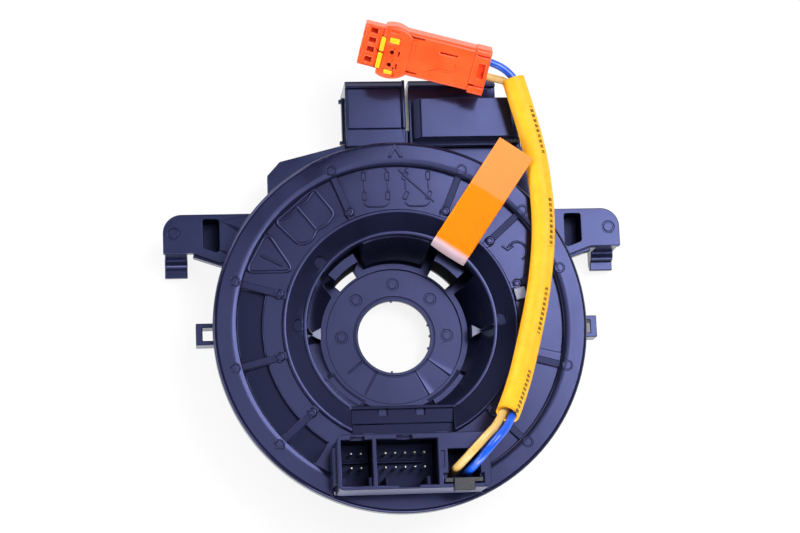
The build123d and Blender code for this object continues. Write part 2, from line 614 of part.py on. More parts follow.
def make_column_left():
    """Left column-side connector, its socket open at the rear."""
    x, y = LEFT_BOX_X, BOX_Y
    box = block((x[0] + 0.5, x[1] - 1.2), (y[0] + 4.8, y[1] - 2.3), (0, BOX_Z + 0.8))
    box += block((x[1] - 0.9, x[1]), (y[0] + 4.8, y[1]), (0, BOX_Z + 1.0))
    box += block(x, y, (REST_Z, BOX_Z)) + rear_lip(x)
    box -= block((x[0] + 1.6, x[1] - 1.6), (y[0] + 1.6, y[1] - 1.8), (REST_Z, 9.0))
    # guide rail on the outer side, with a stud at each end
    box += block((x[0] - 0.7, x[0]), (y[0] + 2.0, y[1] - 3.2), (5.0, 8.0))
    for stud_y in (y[0] + 2.6, y[1] - 4.0):
        box += block((x[0] - 1.4, x[0]), (stud_y - 0.5, stud_y + 0.5), (5.6, 7.4))
    return box


def make_column_right():
    """Right column-side connector: a wide socket open at the rear under a hood with a rounded end."""
    x, y = RIGHT_BOX_X, BOX_Y
    rear_x = (x[0], RIGHT_REAR_X)
    box = block(x, (y[0], HOOD_Y[1]), (REST_Z, 8.0)) + block(rear_x, y, (REST_Z, 8.0))
    box += block(rear_x, y, (8.0, BOX_Z)) + rear_lip(rear_x)
    # hood drawn from the front as (x, z): a slanted left flank and a large round at the right end
    end_x = x[1] - 0.6
    outline = make_face([
        Polyline((end_x, HOOD_Z - 4.0), (end_x, 6.0), (x[0] + 0.9, 6.0), (x[0] + 0.9, HOOD_Z - 2.2),
                 (x[0] + 2.6, HOOD_Z), (end_x - 4.0, HOOD_Z)),
        RadiusArc((end_x - 4.0, HOOD_Z), (end_x, HOOD_Z - 4.0), 4.0),
    ])
    hood = Pos(0, HOOD_Y[1], 0) * extrude(Plane.XZ * outline, HOOD_Y[1] - HOOD_Y[0])
    box += hood
    box -= block((x[0] + 1.6, RIGHT_REAR_X - 1.6), (y[0] + 1.6, y[1] - 1.6), (REST_Z, 6.0))
    box -= block((RIGHT_REAR_X - 2.0, x[1] - 1.6), (y[0] + 1.6, HOOD_Y[1] - 1.6), (REST_Z, 6.0))
    return box


def pins_in(box_x, columns, rows_y, floor_z):
    """Two rows of square pins that stand in a rear-facing socket."""
    middle = sum(box_x) / 2
    pins = []
    for column in range(columns):
        for y in rows_y:
            x = middle + PIN_PITCH * (column - (columns - 1) / 2)
            pins.append(Pos(x, y, floor_z - 2.5) * Box(PIN_SIDE, PIN_SIDE, 7.0))
    return Compound(children=pins)


# ---------------------------------------------------------------- all the pieces
def all_parts():
    """Every piece of the clock spring by the name of its node."""
    sleeve = tube("lead_sleeve", SLEEVE_ROUTE, SLEEVE_R[1], SLEEVE_R[0])
    yellow = tube("lead_wire_yellow", wire_route(YELLOW_START, 1.15, YELLOW_END), WIRE_D / 2)
    blue = tube("lead_wire_blue", wire_route(BLUE_START, -1.15, BLUE_END), WIRE_D / 2)
    return {
        "stator_case": make_stator_case(),
        "back_cover": make_back_cover(),
        "slip_sheet": make_slip_sheet(),
        "ribbon_outer_clip": make_ribbon_outer_clip(),
        "column_connector_left": make_column_left(),
        "column_connector_right": make_column_right(),
        "column_pins_left": pins_in(LEFT_BOX_X, 4, (57.5, 62.0), 9.0),
        "column_pins_right": pins_in(RIGHT_BOX_X, 10, (54.9, 59.4), 6.0),
        "rotor_disc": make_rotor_disc(),
        "rotor_hub": make_rotor_hub(),
        "cancel_cam": make_cancel_cam(),
        "ribbon_cable": make_ribbon_cable(),
        "ribbon_inner_clip": make_ribbon_inner_clip(),
        "steering_connector_housing": make_steering_housing(),
        "steering_pins": make_steering_pins(),
        "wire_clamp": make_wire_clamp(),
        "lead_sleeve": sleeve,
        "lead_wire_yellow": yellow,
        "lead_wire_blue": blue,
        "airbag_connector_body": connector_frame(make_airbag_body()),
        "airbag_connector_cap": connector_frame(make_airbag_cap()),
        "airbag_connector_lock": connector_frame(make_airbag_lock()),
        "airbag_terminals": make_airbag_terminals(),
        "locking_tape": make_locking_tape(),
    }


os.makedirs("parts", exist_ok=True)
for node, shape in all_parts().items():
    export_step(shape, f"parts/{node}.step")
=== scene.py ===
"""Steering clock spring: finishes, fine moulded detail, the airbag lead and the studio round it.

Lengths are in millimetres until they reach Blender, which works in metres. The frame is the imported
model's: the origin on the steering axis, +Z towards the driver and +Y up the column.
"""
from __future__ import annotations

import json
import logging
import math
from dataclasses import dataclass
from enum import Enum
from typing import Any, Iterable, Sequence

import bmesh
import bpy
import numpy as np
from mathutils import Matrix, Vector

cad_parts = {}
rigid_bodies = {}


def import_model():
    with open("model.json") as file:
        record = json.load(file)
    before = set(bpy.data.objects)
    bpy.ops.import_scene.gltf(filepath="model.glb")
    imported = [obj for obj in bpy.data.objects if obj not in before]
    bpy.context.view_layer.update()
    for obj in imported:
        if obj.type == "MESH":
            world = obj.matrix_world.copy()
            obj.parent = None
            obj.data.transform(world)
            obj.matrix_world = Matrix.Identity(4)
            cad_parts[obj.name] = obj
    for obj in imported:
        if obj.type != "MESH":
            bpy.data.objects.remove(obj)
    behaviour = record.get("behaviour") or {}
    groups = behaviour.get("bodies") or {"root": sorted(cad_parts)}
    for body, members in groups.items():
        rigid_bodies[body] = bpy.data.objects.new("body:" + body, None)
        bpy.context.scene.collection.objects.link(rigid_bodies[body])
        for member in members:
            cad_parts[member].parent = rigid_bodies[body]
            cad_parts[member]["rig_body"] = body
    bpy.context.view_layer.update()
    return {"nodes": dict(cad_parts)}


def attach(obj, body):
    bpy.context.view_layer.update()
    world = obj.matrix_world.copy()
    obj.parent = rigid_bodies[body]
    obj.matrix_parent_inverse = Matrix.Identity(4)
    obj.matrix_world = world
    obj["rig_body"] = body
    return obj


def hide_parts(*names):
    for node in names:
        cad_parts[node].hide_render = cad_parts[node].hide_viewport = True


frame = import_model()

# metres in a millimetre
MM = 0.001
# how far a face's own direction counts in the shading of the rounding beside it, in Blender's values
STRONG, WEAK = 16384, -16384
# flat regions wider than this keep the triangles that they come in
JOINED_MM = 16.0
# corners closer than this are one, on a CAD node's copy and on a new surface, where an edge shorter
# than the third is closed up
CAD_WELD_MM, WELD_MM, SHORT_MM = 0.002, 0.0005, 0.0002
# most of a noise's values lie between these
SPREAD = (0.3, 0.7)
LOG = logging.getLogger("clock_spring")
Point = tuple[float, float, float]
Plan = tuple[float, float]


# ---------------------------------------------------------------- colours and nodes
def linear(colour: str) -> tuple[float, float, float, float]:
    """Turns an sRGB hex colour into the linear values that a shader takes.

    Args:
        colour: six hex digits, with or without a leading hash.

    Returns:
        Red, green, blue and an alpha of 1.
    """
    digits = colour.lstrip("#")
    channels = (int(digits[i:i + 2], 16) / 255 for i in (0, 2, 4))
    red, green, blue = (c / 12.92 if c <= 0.04045 else ((c + 0.055) / 1.055) ** 2.4 for c in channels)
    return red, green, blue, 1.0


def add(tree: bpy.types.NodeTree, kind: str, inputs: dict[Any, Any] | None = None,
        **settings: Any) -> bpy.types.Node:
    """Adds one shader node with its settings, values and links.

    Args:
        tree: the node tree it goes in.
        kind: Blender's name of the node's type.
        inputs: a value, or another node's output socket, for each input by name or number.
        settings: the node's own properties.

    Returns:
        The new node.
    """
    node = tree.nodes.new(kind)
    for key, value in settings.items():
        setattr(node, key, value)
    for key, value in (inputs or {}).items():
        if isinstance(value, bpy.types.NodeSocket):
            tree.links.new(value, node.inputs[key])
        else:
            node.inputs[key].default_value = value
    return node


def new_material(name: str) -> tuple[bpy.types.Material, bpy.types.NodeTree]:
    """Makes an empty node material.

    Args:
        name: the material's name.

    Returns:
        The material and its node tree.
    """
    material = bpy.data.materials.new(name)
    material.use_nodes = True
    material.node_tree.nodes.clear()
    return material, material.node_tree


def grained(tree: bpy.types.NodeTree, place: bpy.types.NodeSocket, size_mm: float, depth_mm: float,
            strength: float, roughness: float = 0.5) -> bpy.types.NodeSocket:
    """Roughens a surface with a fine random grain.

    Args:
        tree: the material's node tree.
        place: the point on the object.
        size_mm: width of a grain.
        depth_mm: height of a grain.
        strength: how much of it the shader sees.
        roughness: how strong the finer half of the grain is.

    Returns:
        The bent normal.
    """
    noise = add(tree, "ShaderNodeTexNoise",
                {"Vector": place, "Scale": 1 / (size_mm * MM), "Detail": 2.0, "Roughness": roughness})
    return add(tree, "ShaderNodeBump", {"Height": noise.outputs["Fac"], "Strength": strength,
                                        "Distance": depth_mm * MM}).outputs[0]


def lit_through(share: float, reach: tuple[float, float, float], depth_mm: float) -> dict[str, Any]:
    """Shader values for light that goes a little way in: none where its share is 0.

    Args:
        share: how much of the light goes in.
        reach: how far red, green and blue go, as shares of the depth.
        depth_mm: the depth.

    Returns:
        The values by the names of the shader's sockets.
    """
    if not share:
        return {}
    return {"Subsurface Weight": share, "Subsurface Radius": reach, "Subsurface Scale": depth_mm * MM}


# ---------------------------------------------------------------- finishes
@dataclass(frozen=True)
class Surfacing:
    """A material with one shader, patterned on Object coordinates."""

    name: str

    def sockets(self, tree: bpy.types.NodeTree, place: bpy.types.NodeSocket) -> dict[str, Any]:
        """Says what goes into the shader's sockets, from the point on the object."""
        raise NotImplementedError

    def material(self) -> bpy.types.Material:
        """Builds the material.

        Returns:
            The material, with its shader filled as its kind says.
        """
        material, tree = new_material(self.name)
        place = add(tree, "ShaderNodeTexCoord").outputs["Object"]
        shader = add(tree, "ShaderNodeBsdfPrincipled", self.sockets(tree, place))
        add(tree, "ShaderNodeOutputMaterial", {"Surface": shader.outputs[0]})
        return material


@dataclass(frozen=True)
class MouldedPlastic(Surfacing):
    """Injection-moulded plastic with a spark-eroded grain, faint flow marks and a soft gloss.

    The grain breaks the highlight up, and the flow marks let colour and gloss drift over centimetres.
    The grain is drawn several times coarser than a real spark-eroded one, or it wouldn't show.
    """

    colour: str
    light: str
    roughness: float = 0.42
    drift: tuple[float, float] = (-0.05, 0.06)
    grain_mm: float = 0.35
    grain_depth_mm: float = 0.012
    grain_strength: float = 0.6
    flow_mm: float = 14.0
    flow_span: tuple[float, float] = (0.32, 0.68)
    ior: float = 1.52
    specular: float = 0.5
    gloss_tint: str = "ffffff"
    translucence: float = 0.0
    reach: tuple[float, float, float] = (0.9, 0.35, 0.12)
    reach_mm: float = 0.8

    def sockets(self, tree: bpy.types.NodeTree, place: bpy.types.NodeSocket) -> dict[str, Any]:
        """Fills the shader.

        Args:
            tree: the material's node tree.
            place: the point on the object.

        Returns:
            A value or a link for each socket.
        """
        flow = add(tree, "ShaderNodeTexNoise", {"Vector": place, "Scale": 1 / (self.flow_mm * MM),
                                                "Detail": 4.0, "Roughness": 0.55}).outputs["Fac"]
        paler = add(tree, "ShaderNodeMapRange",
                    {"Value": flow, "From Min": self.flow_span[0], "From Max": self.flow_span[1]})
        colour = add(tree, "ShaderNodeMix",
                     {"Factor": paler.outputs[0], "A": linear(self.colour), "B": linear(self.light)},
                     data_type="RGBA")
        rough = add(tree, "ShaderNodeMapRange",
                    {"Value": flow, "From Min": SPREAD[0], "From Max": SPREAD[1],
                     "To Min": self.roughness + self.drift[0], "To Max": self.roughness + self.drift[1]})
        return {"Base Color": colour.outputs[2], "Roughness": rough.outputs[0], "IOR": self.ior,
                "Normal": grained(tree, place, self.grain_mm, self.grain_depth_mm, self.grain_strength, 0.6),
                "Specular IOR Level": self.specular, "Specular Tint": linear(self.gloss_tint),
                **lit_through(self.translucence, self.reach, self.reach_mm)}


@dataclass(frozen=True)
class TinPlate(Surfacing):
    """Tin-plated brass of contact pins: bright, soft, with faint drawing marks along the pin.

    The marks are drawn coarser than on real wire, or they wouldn't show.
    """

    name: str = "tin_plated_brass_drawn"
    colour: str = "d8d6cf"
    roughness: float = 0.28
    drift: tuple[float, float] = (-0.08, 0.12)
    mark_mm: float = 0.2
    stretch: float = 0.08

    def sockets(self, tree: bpy.types.NodeTree, place: bpy.types.NodeSocket) -> dict[str, Any]:
        """Fills the shader, with the marks drawn out along Z.

        Args:
            tree: the material's node tree.
            place: the point on the object.

        Returns:
            A value or a link for each socket.
        """
        drawn = add(tree, "ShaderNodeMapping", {"Vector": place, "Scale": (1.0, 1.0, self.stretch)})
        marks = add(tree, "ShaderNodeTexNoise",
                    {"Vector": drawn.outputs[0], "Scale": 1 / (self.mark_mm * MM), "Detail": 2.0})
        rough = add(tree, "ShaderNodeMapRange",
                    {"Value": marks.outputs["Fac"], "To Min": self.roughness + self.drift[0],
                     "To Max": self.roughness + self.drift[1]})
        return {"Base Color": linear(self.colour), "Metallic": 1.0, "Roughness": rough.outputs[0]}


@dataclass(frozen=True)
class StiffStrip(Surfacing):
    """Calendered fluorescent vinyl: smooth and a little see-through, paler towards its free end.

    The paler colour is painted light, where the strip leaves the disc's shade, along a slightly wandering
    line; the curl at its lower end is painted a pale pink highlight. The grain is drawn coarser than a real
    calendered one, or it wouldn't show.
    """

    name: str = "fluorescent_vinyl_calendered"
    colour: str = "ff8600"
    # painted light: the paler colour beyond the change, where the strip leaves the disc's shade
    pale: str = "ff924a"
    # painted highlight: the pale pink of the curl at the strip's lower end
    fold: str = "ffd4de"
    roughness: float = 0.5
    specular: float = 0.12
    angle_deg: float = 55.2
    change_mm: tuple[float, float] = (42.6, 43.8)
    fold_mm: tuple[float, float] = (24.5, 26.0)
    wander_mm: float = 11.111
    wander_by_mm: float = 2.4
    grain_mm: float = 0.55556
    grain_depth_mm: float = 0.01
    grain_strength: float = 0.25
    translucence: float = 0.5
    reach: tuple[float, float, float] = (1.0, 0.5, 0.35)
    reach_mm: float = 0.8

    def sockets(self, tree: bpy.types.NodeTree, place: bpy.types.NodeSocket) -> dict[str, Any]:
        """Fills the shader, with the strip's colour from how far along it a point lies.

        Args:
            tree: the material's node tree.
            place: the point on the object.

        Returns:
            A value or a link for each socket.
        """
        turn = math.radians(self.angle_deg)
        along = add(tree, "ShaderNodeVectorMath", {0: place, 1: (math.cos(turn), math.sin(turn), 0.0)},
                    operation="DOT_PRODUCT").outputs["Value"]
        wander = add(tree, "ShaderNodeTexNoise",
                     {"Vector": place, "Scale": 1 / (self.wander_mm * MM), "Detail": 2.0})
        shifted = add(tree, "ShaderNodeMath",
                      {0: wander.outputs["Fac"], 1: self.wander_by_mm * MM, 2: along},
                      operation="MULTIPLY_ADD").outputs[0]
        colour = linear(self.colour)
        for far, ends, other in ((shifted, self.change_mm, self.pale),
                                 (along, self.fold_mm[::-1], self.fold)):
            share = add(tree, "ShaderNodeMapRange",
                        {"Value": far, "From Min": ends[0] * MM, "From Max": ends[1] * MM},
                        interpolation_type="SMOOTHSTEP")
            colour = add(tree, "ShaderNodeMix",
                         {"Factor": share.outputs[0], "A": colour, "B": linear(other)},
                         data_type="RGBA").outputs[2]
        return {"Base Color": colour, "Roughness": self.roughness, "Specular IOR Level": self.specular,
                "Normal": grained(tree, place, self.grain_mm, self.grain_depth_mm, self.grain_strength),
                **lit_through(self.translucence, self.reach, self.reach_mm)}


@dataclass(frozen=True)
class SoftTube(Surfacing):
    """Extruded vinyl of wires and their sleeve: even colour, satin, with faint haul-off streaks.

    The grain is drawn about a millimetre wide, coarser than a real skin, or it wouldn't show.
    """

    colour: str
    shade: str
    roughness: float = 0.36
    streak_mm: float = 2.5
    grain_mm: float = 1.1111
    grain_depth_mm: float = 0.02
    grain_strength: float = 0.3
    specular: float = 0.5
    coat: float = 0.0
    translucence: float = 0.0
    reach: tuple[float, float, float] = (1.0, 0.6, 0.15)
    reach_mm: float = 0.9

    def colour_socket(self, tree: bpy.types.NodeTree, place: bpy.types.NodeSocket) -> bpy.types.NodeSocket:
        """Adds the drifting base colour.

        Args:
            tree: the material's node tree.
            place: the point on the object.

        Returns:
            The colour.
        """
        drift = add(tree, "ShaderNodeTexNoise",
                    {"Vector": place, "Scale": 1 / (self.streak_mm * MM), "Detail": 3.0, "Roughness": 0.5})
        share = add(tree, "ShaderNodeMapRange",
                    {"Value": drift.outputs["Fac"], "From Min": SPREAD[0], "From Max": SPREAD[1]})
        return add(tree, "ShaderNodeMix",
                   {"Factor": share.outputs[0], "A": linear(self.colour), "B": linear(self.shade)},
                   data_type="RGBA").outputs[2]

    def sockets(self, tree: bpy.types.NodeTree, place: bpy.types.NodeSocket) -> dict[str, Any]:
        """Fills the shader.

        Args:
            tree: the material's node tree.
            place: the point on the object.

        Returns:
            A value or a link for each socket.
        """
        return {"Base Color": self.colour_socket(tree, place), "Roughness": self.roughness,
                "Normal": grained(tree, place, self.grain_mm, self.grain_depth_mm, self.grain_strength),
                "Specular IOR Level": self.specular, "Coat Weight": self.coat,
                **lit_through(self.translucence, self.reach, self.reach_mm)}


@dataclass(frozen=True)
class PrintedTube(SoftTube):
    """A vinyl tube with a row of dark ink dashes along one side, in groups, worn in places.

    The pattern follows the attribute "lie" of its mesh: millimetres along the tube, then how far a
    point lies sideways and upwards of the middle line, as shares of the radius. Ink is kept where the
    wear's noise lies under "kept", and hides "cover" of the vinyl there.
    """

    ink: str = "3a2f14"
    dash_mm: float = 1.45
    dash_share: float = 0.62
    group_mm: float = 25.0
    group_share: float = 0.55
    sideways: tuple[float, float] = (0.42, 0.72)
    wear_mm: float = 0.38462
    kept: float = 0.62
    cover: float = 0.85

    def colour_socket(self, tree: bpy.types.NodeTree, place: bpy.types.NodeSocket) -> bpy.types.NodeSocket:
        """Lays the dashes over the drifting base colour.

        Args:
            tree: the material's node tree.
            place: the point on the object.

        Returns:
            The colour.
        """
        base = super().colour_socket(tree, place)
        lie = add(tree, "ShaderNodeAttribute", attribute_name="lie").outputs["Vector"]
        along, sideways, upwards = add(tree, "ShaderNodeSeparateXYZ", {0: lie}).outputs
        wear = add(tree, "ShaderNodeTexNoise",
                   {"Vector": place, "Scale": 1 / (self.wear_mm * MM), "Detail": 2.0}).outputs["Fac"]
        tests = [(upwards, "GREATER_THAN", 0.0), (sideways, "GREATER_THAN", self.sideways[0]),
                 (sideways, "LESS_THAN", self.sideways[1]), (wear, "LESS_THAN", self.kept)]
        for period, share in ((self.dash_mm, self.dash_share), (self.group_mm, self.group_share)):
            beat = add(tree, "ShaderNodeMath", {0: along, 1: 1 / period}, operation="MULTIPLY").outputs[0]
            tests.append((add(tree, "ShaderNodeMath", {0: beat}, operation="FRACT").outputs[0],
                          "LESS_THAN", share))
        inked = add(tree, "ShaderNodeValue").outputs[0]
        inked.default_value = self.cover
        for socket, operation, limit in tests:
            passed = add(tree, "ShaderNodeMath", {0: socket, 1: limit}, operation=operation).outputs[0]
            inked = add(tree, "ShaderNodeMath", {0: inked, 1: passed}, operation="MULTIPLY").outputs[0]
        return add(tree, "ShaderNodeMix", {"Factor": inked, "A": base, "B": linear(self.ink)},
                   data_type="RGBA").outputs[2]


class Finish(Enum):
    """Every finish on the object, each a frozen dataclass."""

    # glass-filled PBT, moulded and polished by its mould: near black, with a blue-grey sheen
    CASE = MouldedPlastic("black_glass_filled_pbt_moulded_case", "171a30", "1d2038", roughness=0.18,
                          specular=0.45, gloss_tint="a6b0ff")
    COVER = MouldedPlastic("black_glass_filled_pbt_moulded_cover", "141628", "18192c", roughness=0.22,
                           specular=0.6, gloss_tint="a6b0ff")
    # acetal, moulded: slippery and a little glossier than the case, so the lamps lie on it in soft bands
    DISC = MouldedPlastic("black_acetal_moulded_disc", "141529", "181a2f", roughness=0.17,
                          specular=0.45, gloss_tint="a8b0ff")
    HUB = MouldedPlastic("black_acetal_moulded_hub", "15172b", "1a1c32", roughness=0.2,
                         specular=0.45, gloss_tint="a8b0ff")
    # undyed acetal, moulded: pale, cool grey and waxy
    CAM = MouldedPlastic("natural_acetal_moulded", "b9bcc6", "c8cbd3", roughness=0.4)
    # dyed PBT, moulded and satin: the light that goes in a little way makes its edges glow
    CONNECTOR = MouldedPlastic("orange_pbt_moulded", "f24a12", "f85c20", roughness=0.36,
                               flow_mm=9.0, translucence=0.12)
    LOCK = MouldedPlastic("yellow_pbt_moulded", "ffb708", "ffc526", roughness=0.34, flow_mm=5.0,
                          translucence=0.1)
    # black acetal in recesses, on latch backs and on rib tops: the darker colour of the recesses and latch
    # backs is painted shade, on a rougher finish; the rib tops are only duller
    RECESS = MouldedPlastic("black_acetal_recess_painted_shade", "0c0e1d", "111328", roughness=0.4,
                            specular=0.24, gloss_tint="a6b0ff", grain_depth_mm=0.02)
    SHADE = MouldedPlastic("black_acetal_matt_painted_shade", "06070f", "0a0b16", roughness=0.8, specular=0.05)
    DULL = MouldedPlastic("black_acetal_moulded_dull", "15172b", "191b31", roughness=0.42, specular=0.34,
                          gloss_tint="a8b0ff")
    # the housing's outer wall: its pale grey-blue colour is painted reflection, on a rough finish
    GROUND = MouldedPlastic("black_acetal_wall_painted_reflection", "3b405c", "474c69", roughness=0.55, specular=0.9)
    # the light block and the pointer wedges: a pale patch on the dark disc, a painted highlight
    INDEX = MouldedPlastic("black_acetal_painted_glint", "6f7796", "8790ae", roughness=0.3)
    # nylon, moulded: deeper black than the housing that it closes
    CLAMP = MouldedPlastic("black_nylon_moulded", "0b0c18", "121424", roughness=0.25, specular=0.3)
    # rolled film: smooth; its dark grey colour is painted shade, for where it lies in the case's shade
    FILM = MouldedPlastic("polyester_film_rolled", "2b2c33", "34353d", roughness=0.3, grain_depth_mm=0.003)
    # polyester laminated over flat copper: glossy and brown
    RIBBON = MouldedPlastic("polyester_over_copper_laminated", "c08a4a", "cf9b5a", roughness=0.25,
                            grain_depth_mm=0.003)
    # tin plate on drawn brass: small bright points
    TIN = TinPlate()
    # calendered vinyl with a fluorescent dye: flat, warm and brighter than its surroundings
    STRIP = StiffStrip()
    # extruded vinyl: satin sleeve with a worn print, and wires with a round highlight along them
    SLEEVE = PrintedTube("yellow_vinyl_extruded_printed", "f3ab18", "f7b822", roughness=0.5, specular=0.25,
                         translucence=0.12)
    WIRE_YELLOW = SoftTube("cream_yellow_vinyl_extruded", "cda552", "d8b56e", roughness=0.34, coat=0.1)
    WIRE_BLUE = SoftTube("blue_vinyl_extruded", "0748c4", "1160e0", roughness=0.3, coat=0.2)

    def made(self) -> bpy.types.Material:
        """Returns this finish's material, made once."""
        return bpy.data.materials.get(self.value.name) or self.value.material()


# ---------------------------------------------------------------- meshes
def put_on(piece: bpy.types.Object, body: str, finish: Finish,
           replaced: Sequence[str] = ()) -> bpy.types.Object:
    """Gives a finished piece its material, its body and the nodes that it stands for.

    Args:
        piece: the object, in place in the frame.
        body: the CAD body that it rides on.
        finish: what it is made of.
        replaced: CAD nodes that it is shown instead of.

    Returns:
        The same piece.
    """
    piece.data.materials.clear()
    piece.data.materials.append(finish.made())
    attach(piece, body)
    if replaced:
        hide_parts(*replaced)
    LOG.info("%s rides on %s", piece.name, body)
    return piece


def linked(name: str, data: bpy.types.ID) -> bpy.types.Object:
    """Makes an object of some mesh, curve, lamp or camera data and puts it in the scene.

    Args:
        name: the object's name.
        data: its data.

    Returns:
        The object.
    """
    made = bpy.data.objects.new(name, data)
    bpy.context.scene.collection.objects.link(made)
    return made


def flat_regions(shape: bmesh.types.BMesh, level_deg: float = 0.2) -> np.ndarray:
    """Finds the flat regions of a mesh: faces that meet level belong to one region.

    Args:
        shape: the mesh.
        level_deg: faces that turn less than this are one region.

    Returns:
        For each face, the number of its region.
    """
    shape.faces.ensure_lookup_table()
    shape.faces.index_update()
    region = list(range(len(shape.faces)))

    def root(face: int) -> int:
        """Follows the links from a face to its region's first face.

        Args:
            face: the face's number.

        Returns:
            The first face's number.
        """
        while region[face] != face:
            region[face] = region[region[face]]
            face = region[face]
        return face

    level = math.radians(level_deg)
    for edge in shape.edges:
        if edge.calc_face_angle(1.0) < level:
            one, other = (root(face.index) for face in edge.link_faces)
            region[one] = other
    return np.array([root(face) for face in range(len(region))])


def join_flats(shape: bmesh.types.BMesh) -> None:
    """Joins the triangles of each simple flat region into one face, so that its edges round off evenly.

    A region is simple where its corners less its edges plus its faces come to 1, so that it has no
    hole, where its outline has as many corners as edges, so that it doesn't touch itself, and where
    it is at most JOINED_MM across.

    Args:
        shape: the mesh.
    """
    regions = flat_regions(shape)
    corners: dict[int, set[int]] = {}
    outline: dict[int, set[int]] = {}
    for face in shape.faces:
        corners.setdefault(int(regions[face.index]), set()).update(vert.index for vert in face.verts)
    edges, borders = np.zeros(len(regions), int), np.zeros(len(regions), int)
    inner = []
    for edge in shape.edges:
        sides = {int(regions[face.index]) for face in edge.link_faces}
        edges[list(sides)] += 1
        if len(sides) == 1 and len(edge.link_faces) == 2:
            inner.append((edge, *sides))
            continue
        borders[list(sides)] += 1
        for side in sides:
            outline.setdefault(side, set()).update(vert.index for vert in edge.verts)
    faces = np.bincount(regions, minlength=len(edges))
    places = np.array([vert.co for vert in shape.verts]) / MM
    simple = {region for region, found in corners.items()
              if len(found) - edges[region] + faces[region] == 1 and len(outline[region]) == borders[region]
              and np.ptp(places[list(found)], axis=0).max() < JOINED_MM}
    bmesh.ops.dissolve_edges(shape, edges=[edge for edge, region in inner if region in simple],
                             use_verts=False, use_face_split=False)


def region_widths(shape: bmesh.types.BMesh) -> list[float]:
    """The mean width of each face's flat region: twice its area over its outline.

    Args:
        shape: the mesh.

    Returns:
        For each face, its region's width in millimetres.
    """
    regions = flat_regions(shape)
    area = np.bincount(regions, [face.calc_area() for face in shape.faces], len(regions))
    outline = np.zeros(len(regions))
    for edge in shape.edges:
        sides = {int(regions[face.index]) for face in edge.link_faces}
        if len(sides) > 1:
            outline[list(sides)] += edge.calc_length()
    return (2 * area / np.maximum(outline, 1e-9) / MM)[regions].tolist()


def merged_copy(node: str, name: str, crease_deg: float = 32.0, flat_crease_deg: float = 13.0,
                flat_mm: float = 0.38) -> bpy.types.Object:
    """Copies a CAD node's mesh, joins its loose triangles and marks its sharp edges.

    An edge is sharp where it turns more than the crease angle, or more than the smaller angle if both
    its sides are flat faces and not facets of a curve. Flat faces are marked strong, so that the
    rounding beside them takes its shading from them.

    Args:
        node: the CAD node.
        name: the new piece's name.
        crease_deg: least turn of a sharp edge.
        flat_crease_deg: least turn of a sharp edge between two flat faces.
        flat_mm: least mean width of a flat face.

    Returns:
        The new object, at the origin.
    """
    shape = bmesh.new()
    shape.from_mesh(frame["nodes"][node].data)
    bmesh.ops.remove_doubles(shape, verts=shape.verts, dist=CAD_WELD_MM * MM)
    join_flats(shape)
    width = region_widths(shape)
    strength = shape.faces.layers.int.new("__mod_weightednormals_faceweight")
    for face in shape.faces:
        face.smooth = True
        face[strength] = STRONG if width[face.index] > flat_mm else WEAK
    weight = shape.edges.layers.float.new("bevel_weight_edge")
    for edge in shape.edges:
        flat = min((width[face.index] for face in edge.link_faces), default=0.0) > flat_mm
        edge.smooth = edge.calc_face_angle(0.0) < math.radians(flat_crease_deg if flat else crease_deg)
        edge[weight] = float(not edge.smooth and edge.is_convex)
    mesh = bpy.data.meshes.new(name)
    shape.to_mesh(mesh)
    shape.free()
    return linked(name, mesh)


@dataclass(frozen=True)
class Zone:
    """A block or ring of a moulding, in millimetres, whose faces have a finish of their own."""

    z: tuple[float, float]
    x: tuple[float, float] = (-100.0, 100.0)
    y: tuple[float, float] = (-100.0, 100.0)
    radius: tuple[float, float] = (0.0, 100.0)

    def holds(self, centres: np.ndarray) -> np.ndarray:
        """Tells which points lie inside.

        Args:
            centres: points in millimetres, one row each.

        Returns:
            True for each point between all the limits.
        """
        measures = (centres[:, 0], centres[:, 1], centres[:, 2], np.hypot(centres[:, 0], centres[:, 1]))
        limits = (self.x, self.y, self.z, self.radius)
        return np.all([(low < m) & (m < high) for m, (low, high) in zip(measures, limits)], axis=0)


def finish_zones(piece: bpy.types.Object, zones: dict[Finish, Sequence[Zone]]) -> None:
    """Gives the faces in some zones of a piece finishes of their own.

    Args:
        piece: the piece, with its main finish on it.
        zones: the places of each further finish.
    """
    mesh = piece.data
    centres = np.empty(3 * len(mesh.polygons))
    mesh.polygons.foreach_get("center", centres)
    chosen = np.zeros(len(mesh.polygons), np.int32)
    for index, (finish, places) in enumerate(zones.items(), 1):
        mesh.materials.append(finish.made())
        chosen[np.any([zone.holds(centres.reshape(-1, 3) / MM) for zone in places], axis=0)] = index
    mesh.polygons.foreach_set("material_index", chosen)


def moulded(node: str, finish: Finish, edge_mm: float = 0.22, segments: int = 2,
            zones: dict[Finish, Sequence[Zone]] | None = None) -> bpy.types.Object:
    """Shows a CAD node with the small rounding that a mould leaves on every edge.

    Args:
        node: the CAD node that it stands for.
        finish: what it is made of.
        edge_mm: width of the rounding.
        segments: steps across the rounding.
        zones: places with a finish of their own.

    Returns:
        The new piece, riding on the node's body.
    """
    piece = merged_copy(node, f"{node}_moulding")
    bevel = piece.modifiers.new("edge rounding", "BEVEL")
    bevel.width = edge_mm * MM
    bevel.segments = segments
    bevel.limit_method = "WEIGHT"
    bevel.use_clamp_overlap = False
    bevel.face_strength_mode = "FSTR_NEW"
    even = piece.modifiers.new("flat faces stay flat", "WEIGHTED_NORMAL")
    even.keep_sharp = True
    even.use_face_influence = True
    put_on(piece, frame["nodes"][node]["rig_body"], finish, [node])
    finish_zones(piece, zones or {})
    return piece


# ---------------------------------------------------------------- surfaces
def unit(rows: np.ndarray) -> np.ndarray:
    """Scales one vector, or each row of them, to length 1."""
    return rows / np.linalg.norm(rows, axis=-1, keepdims=True)


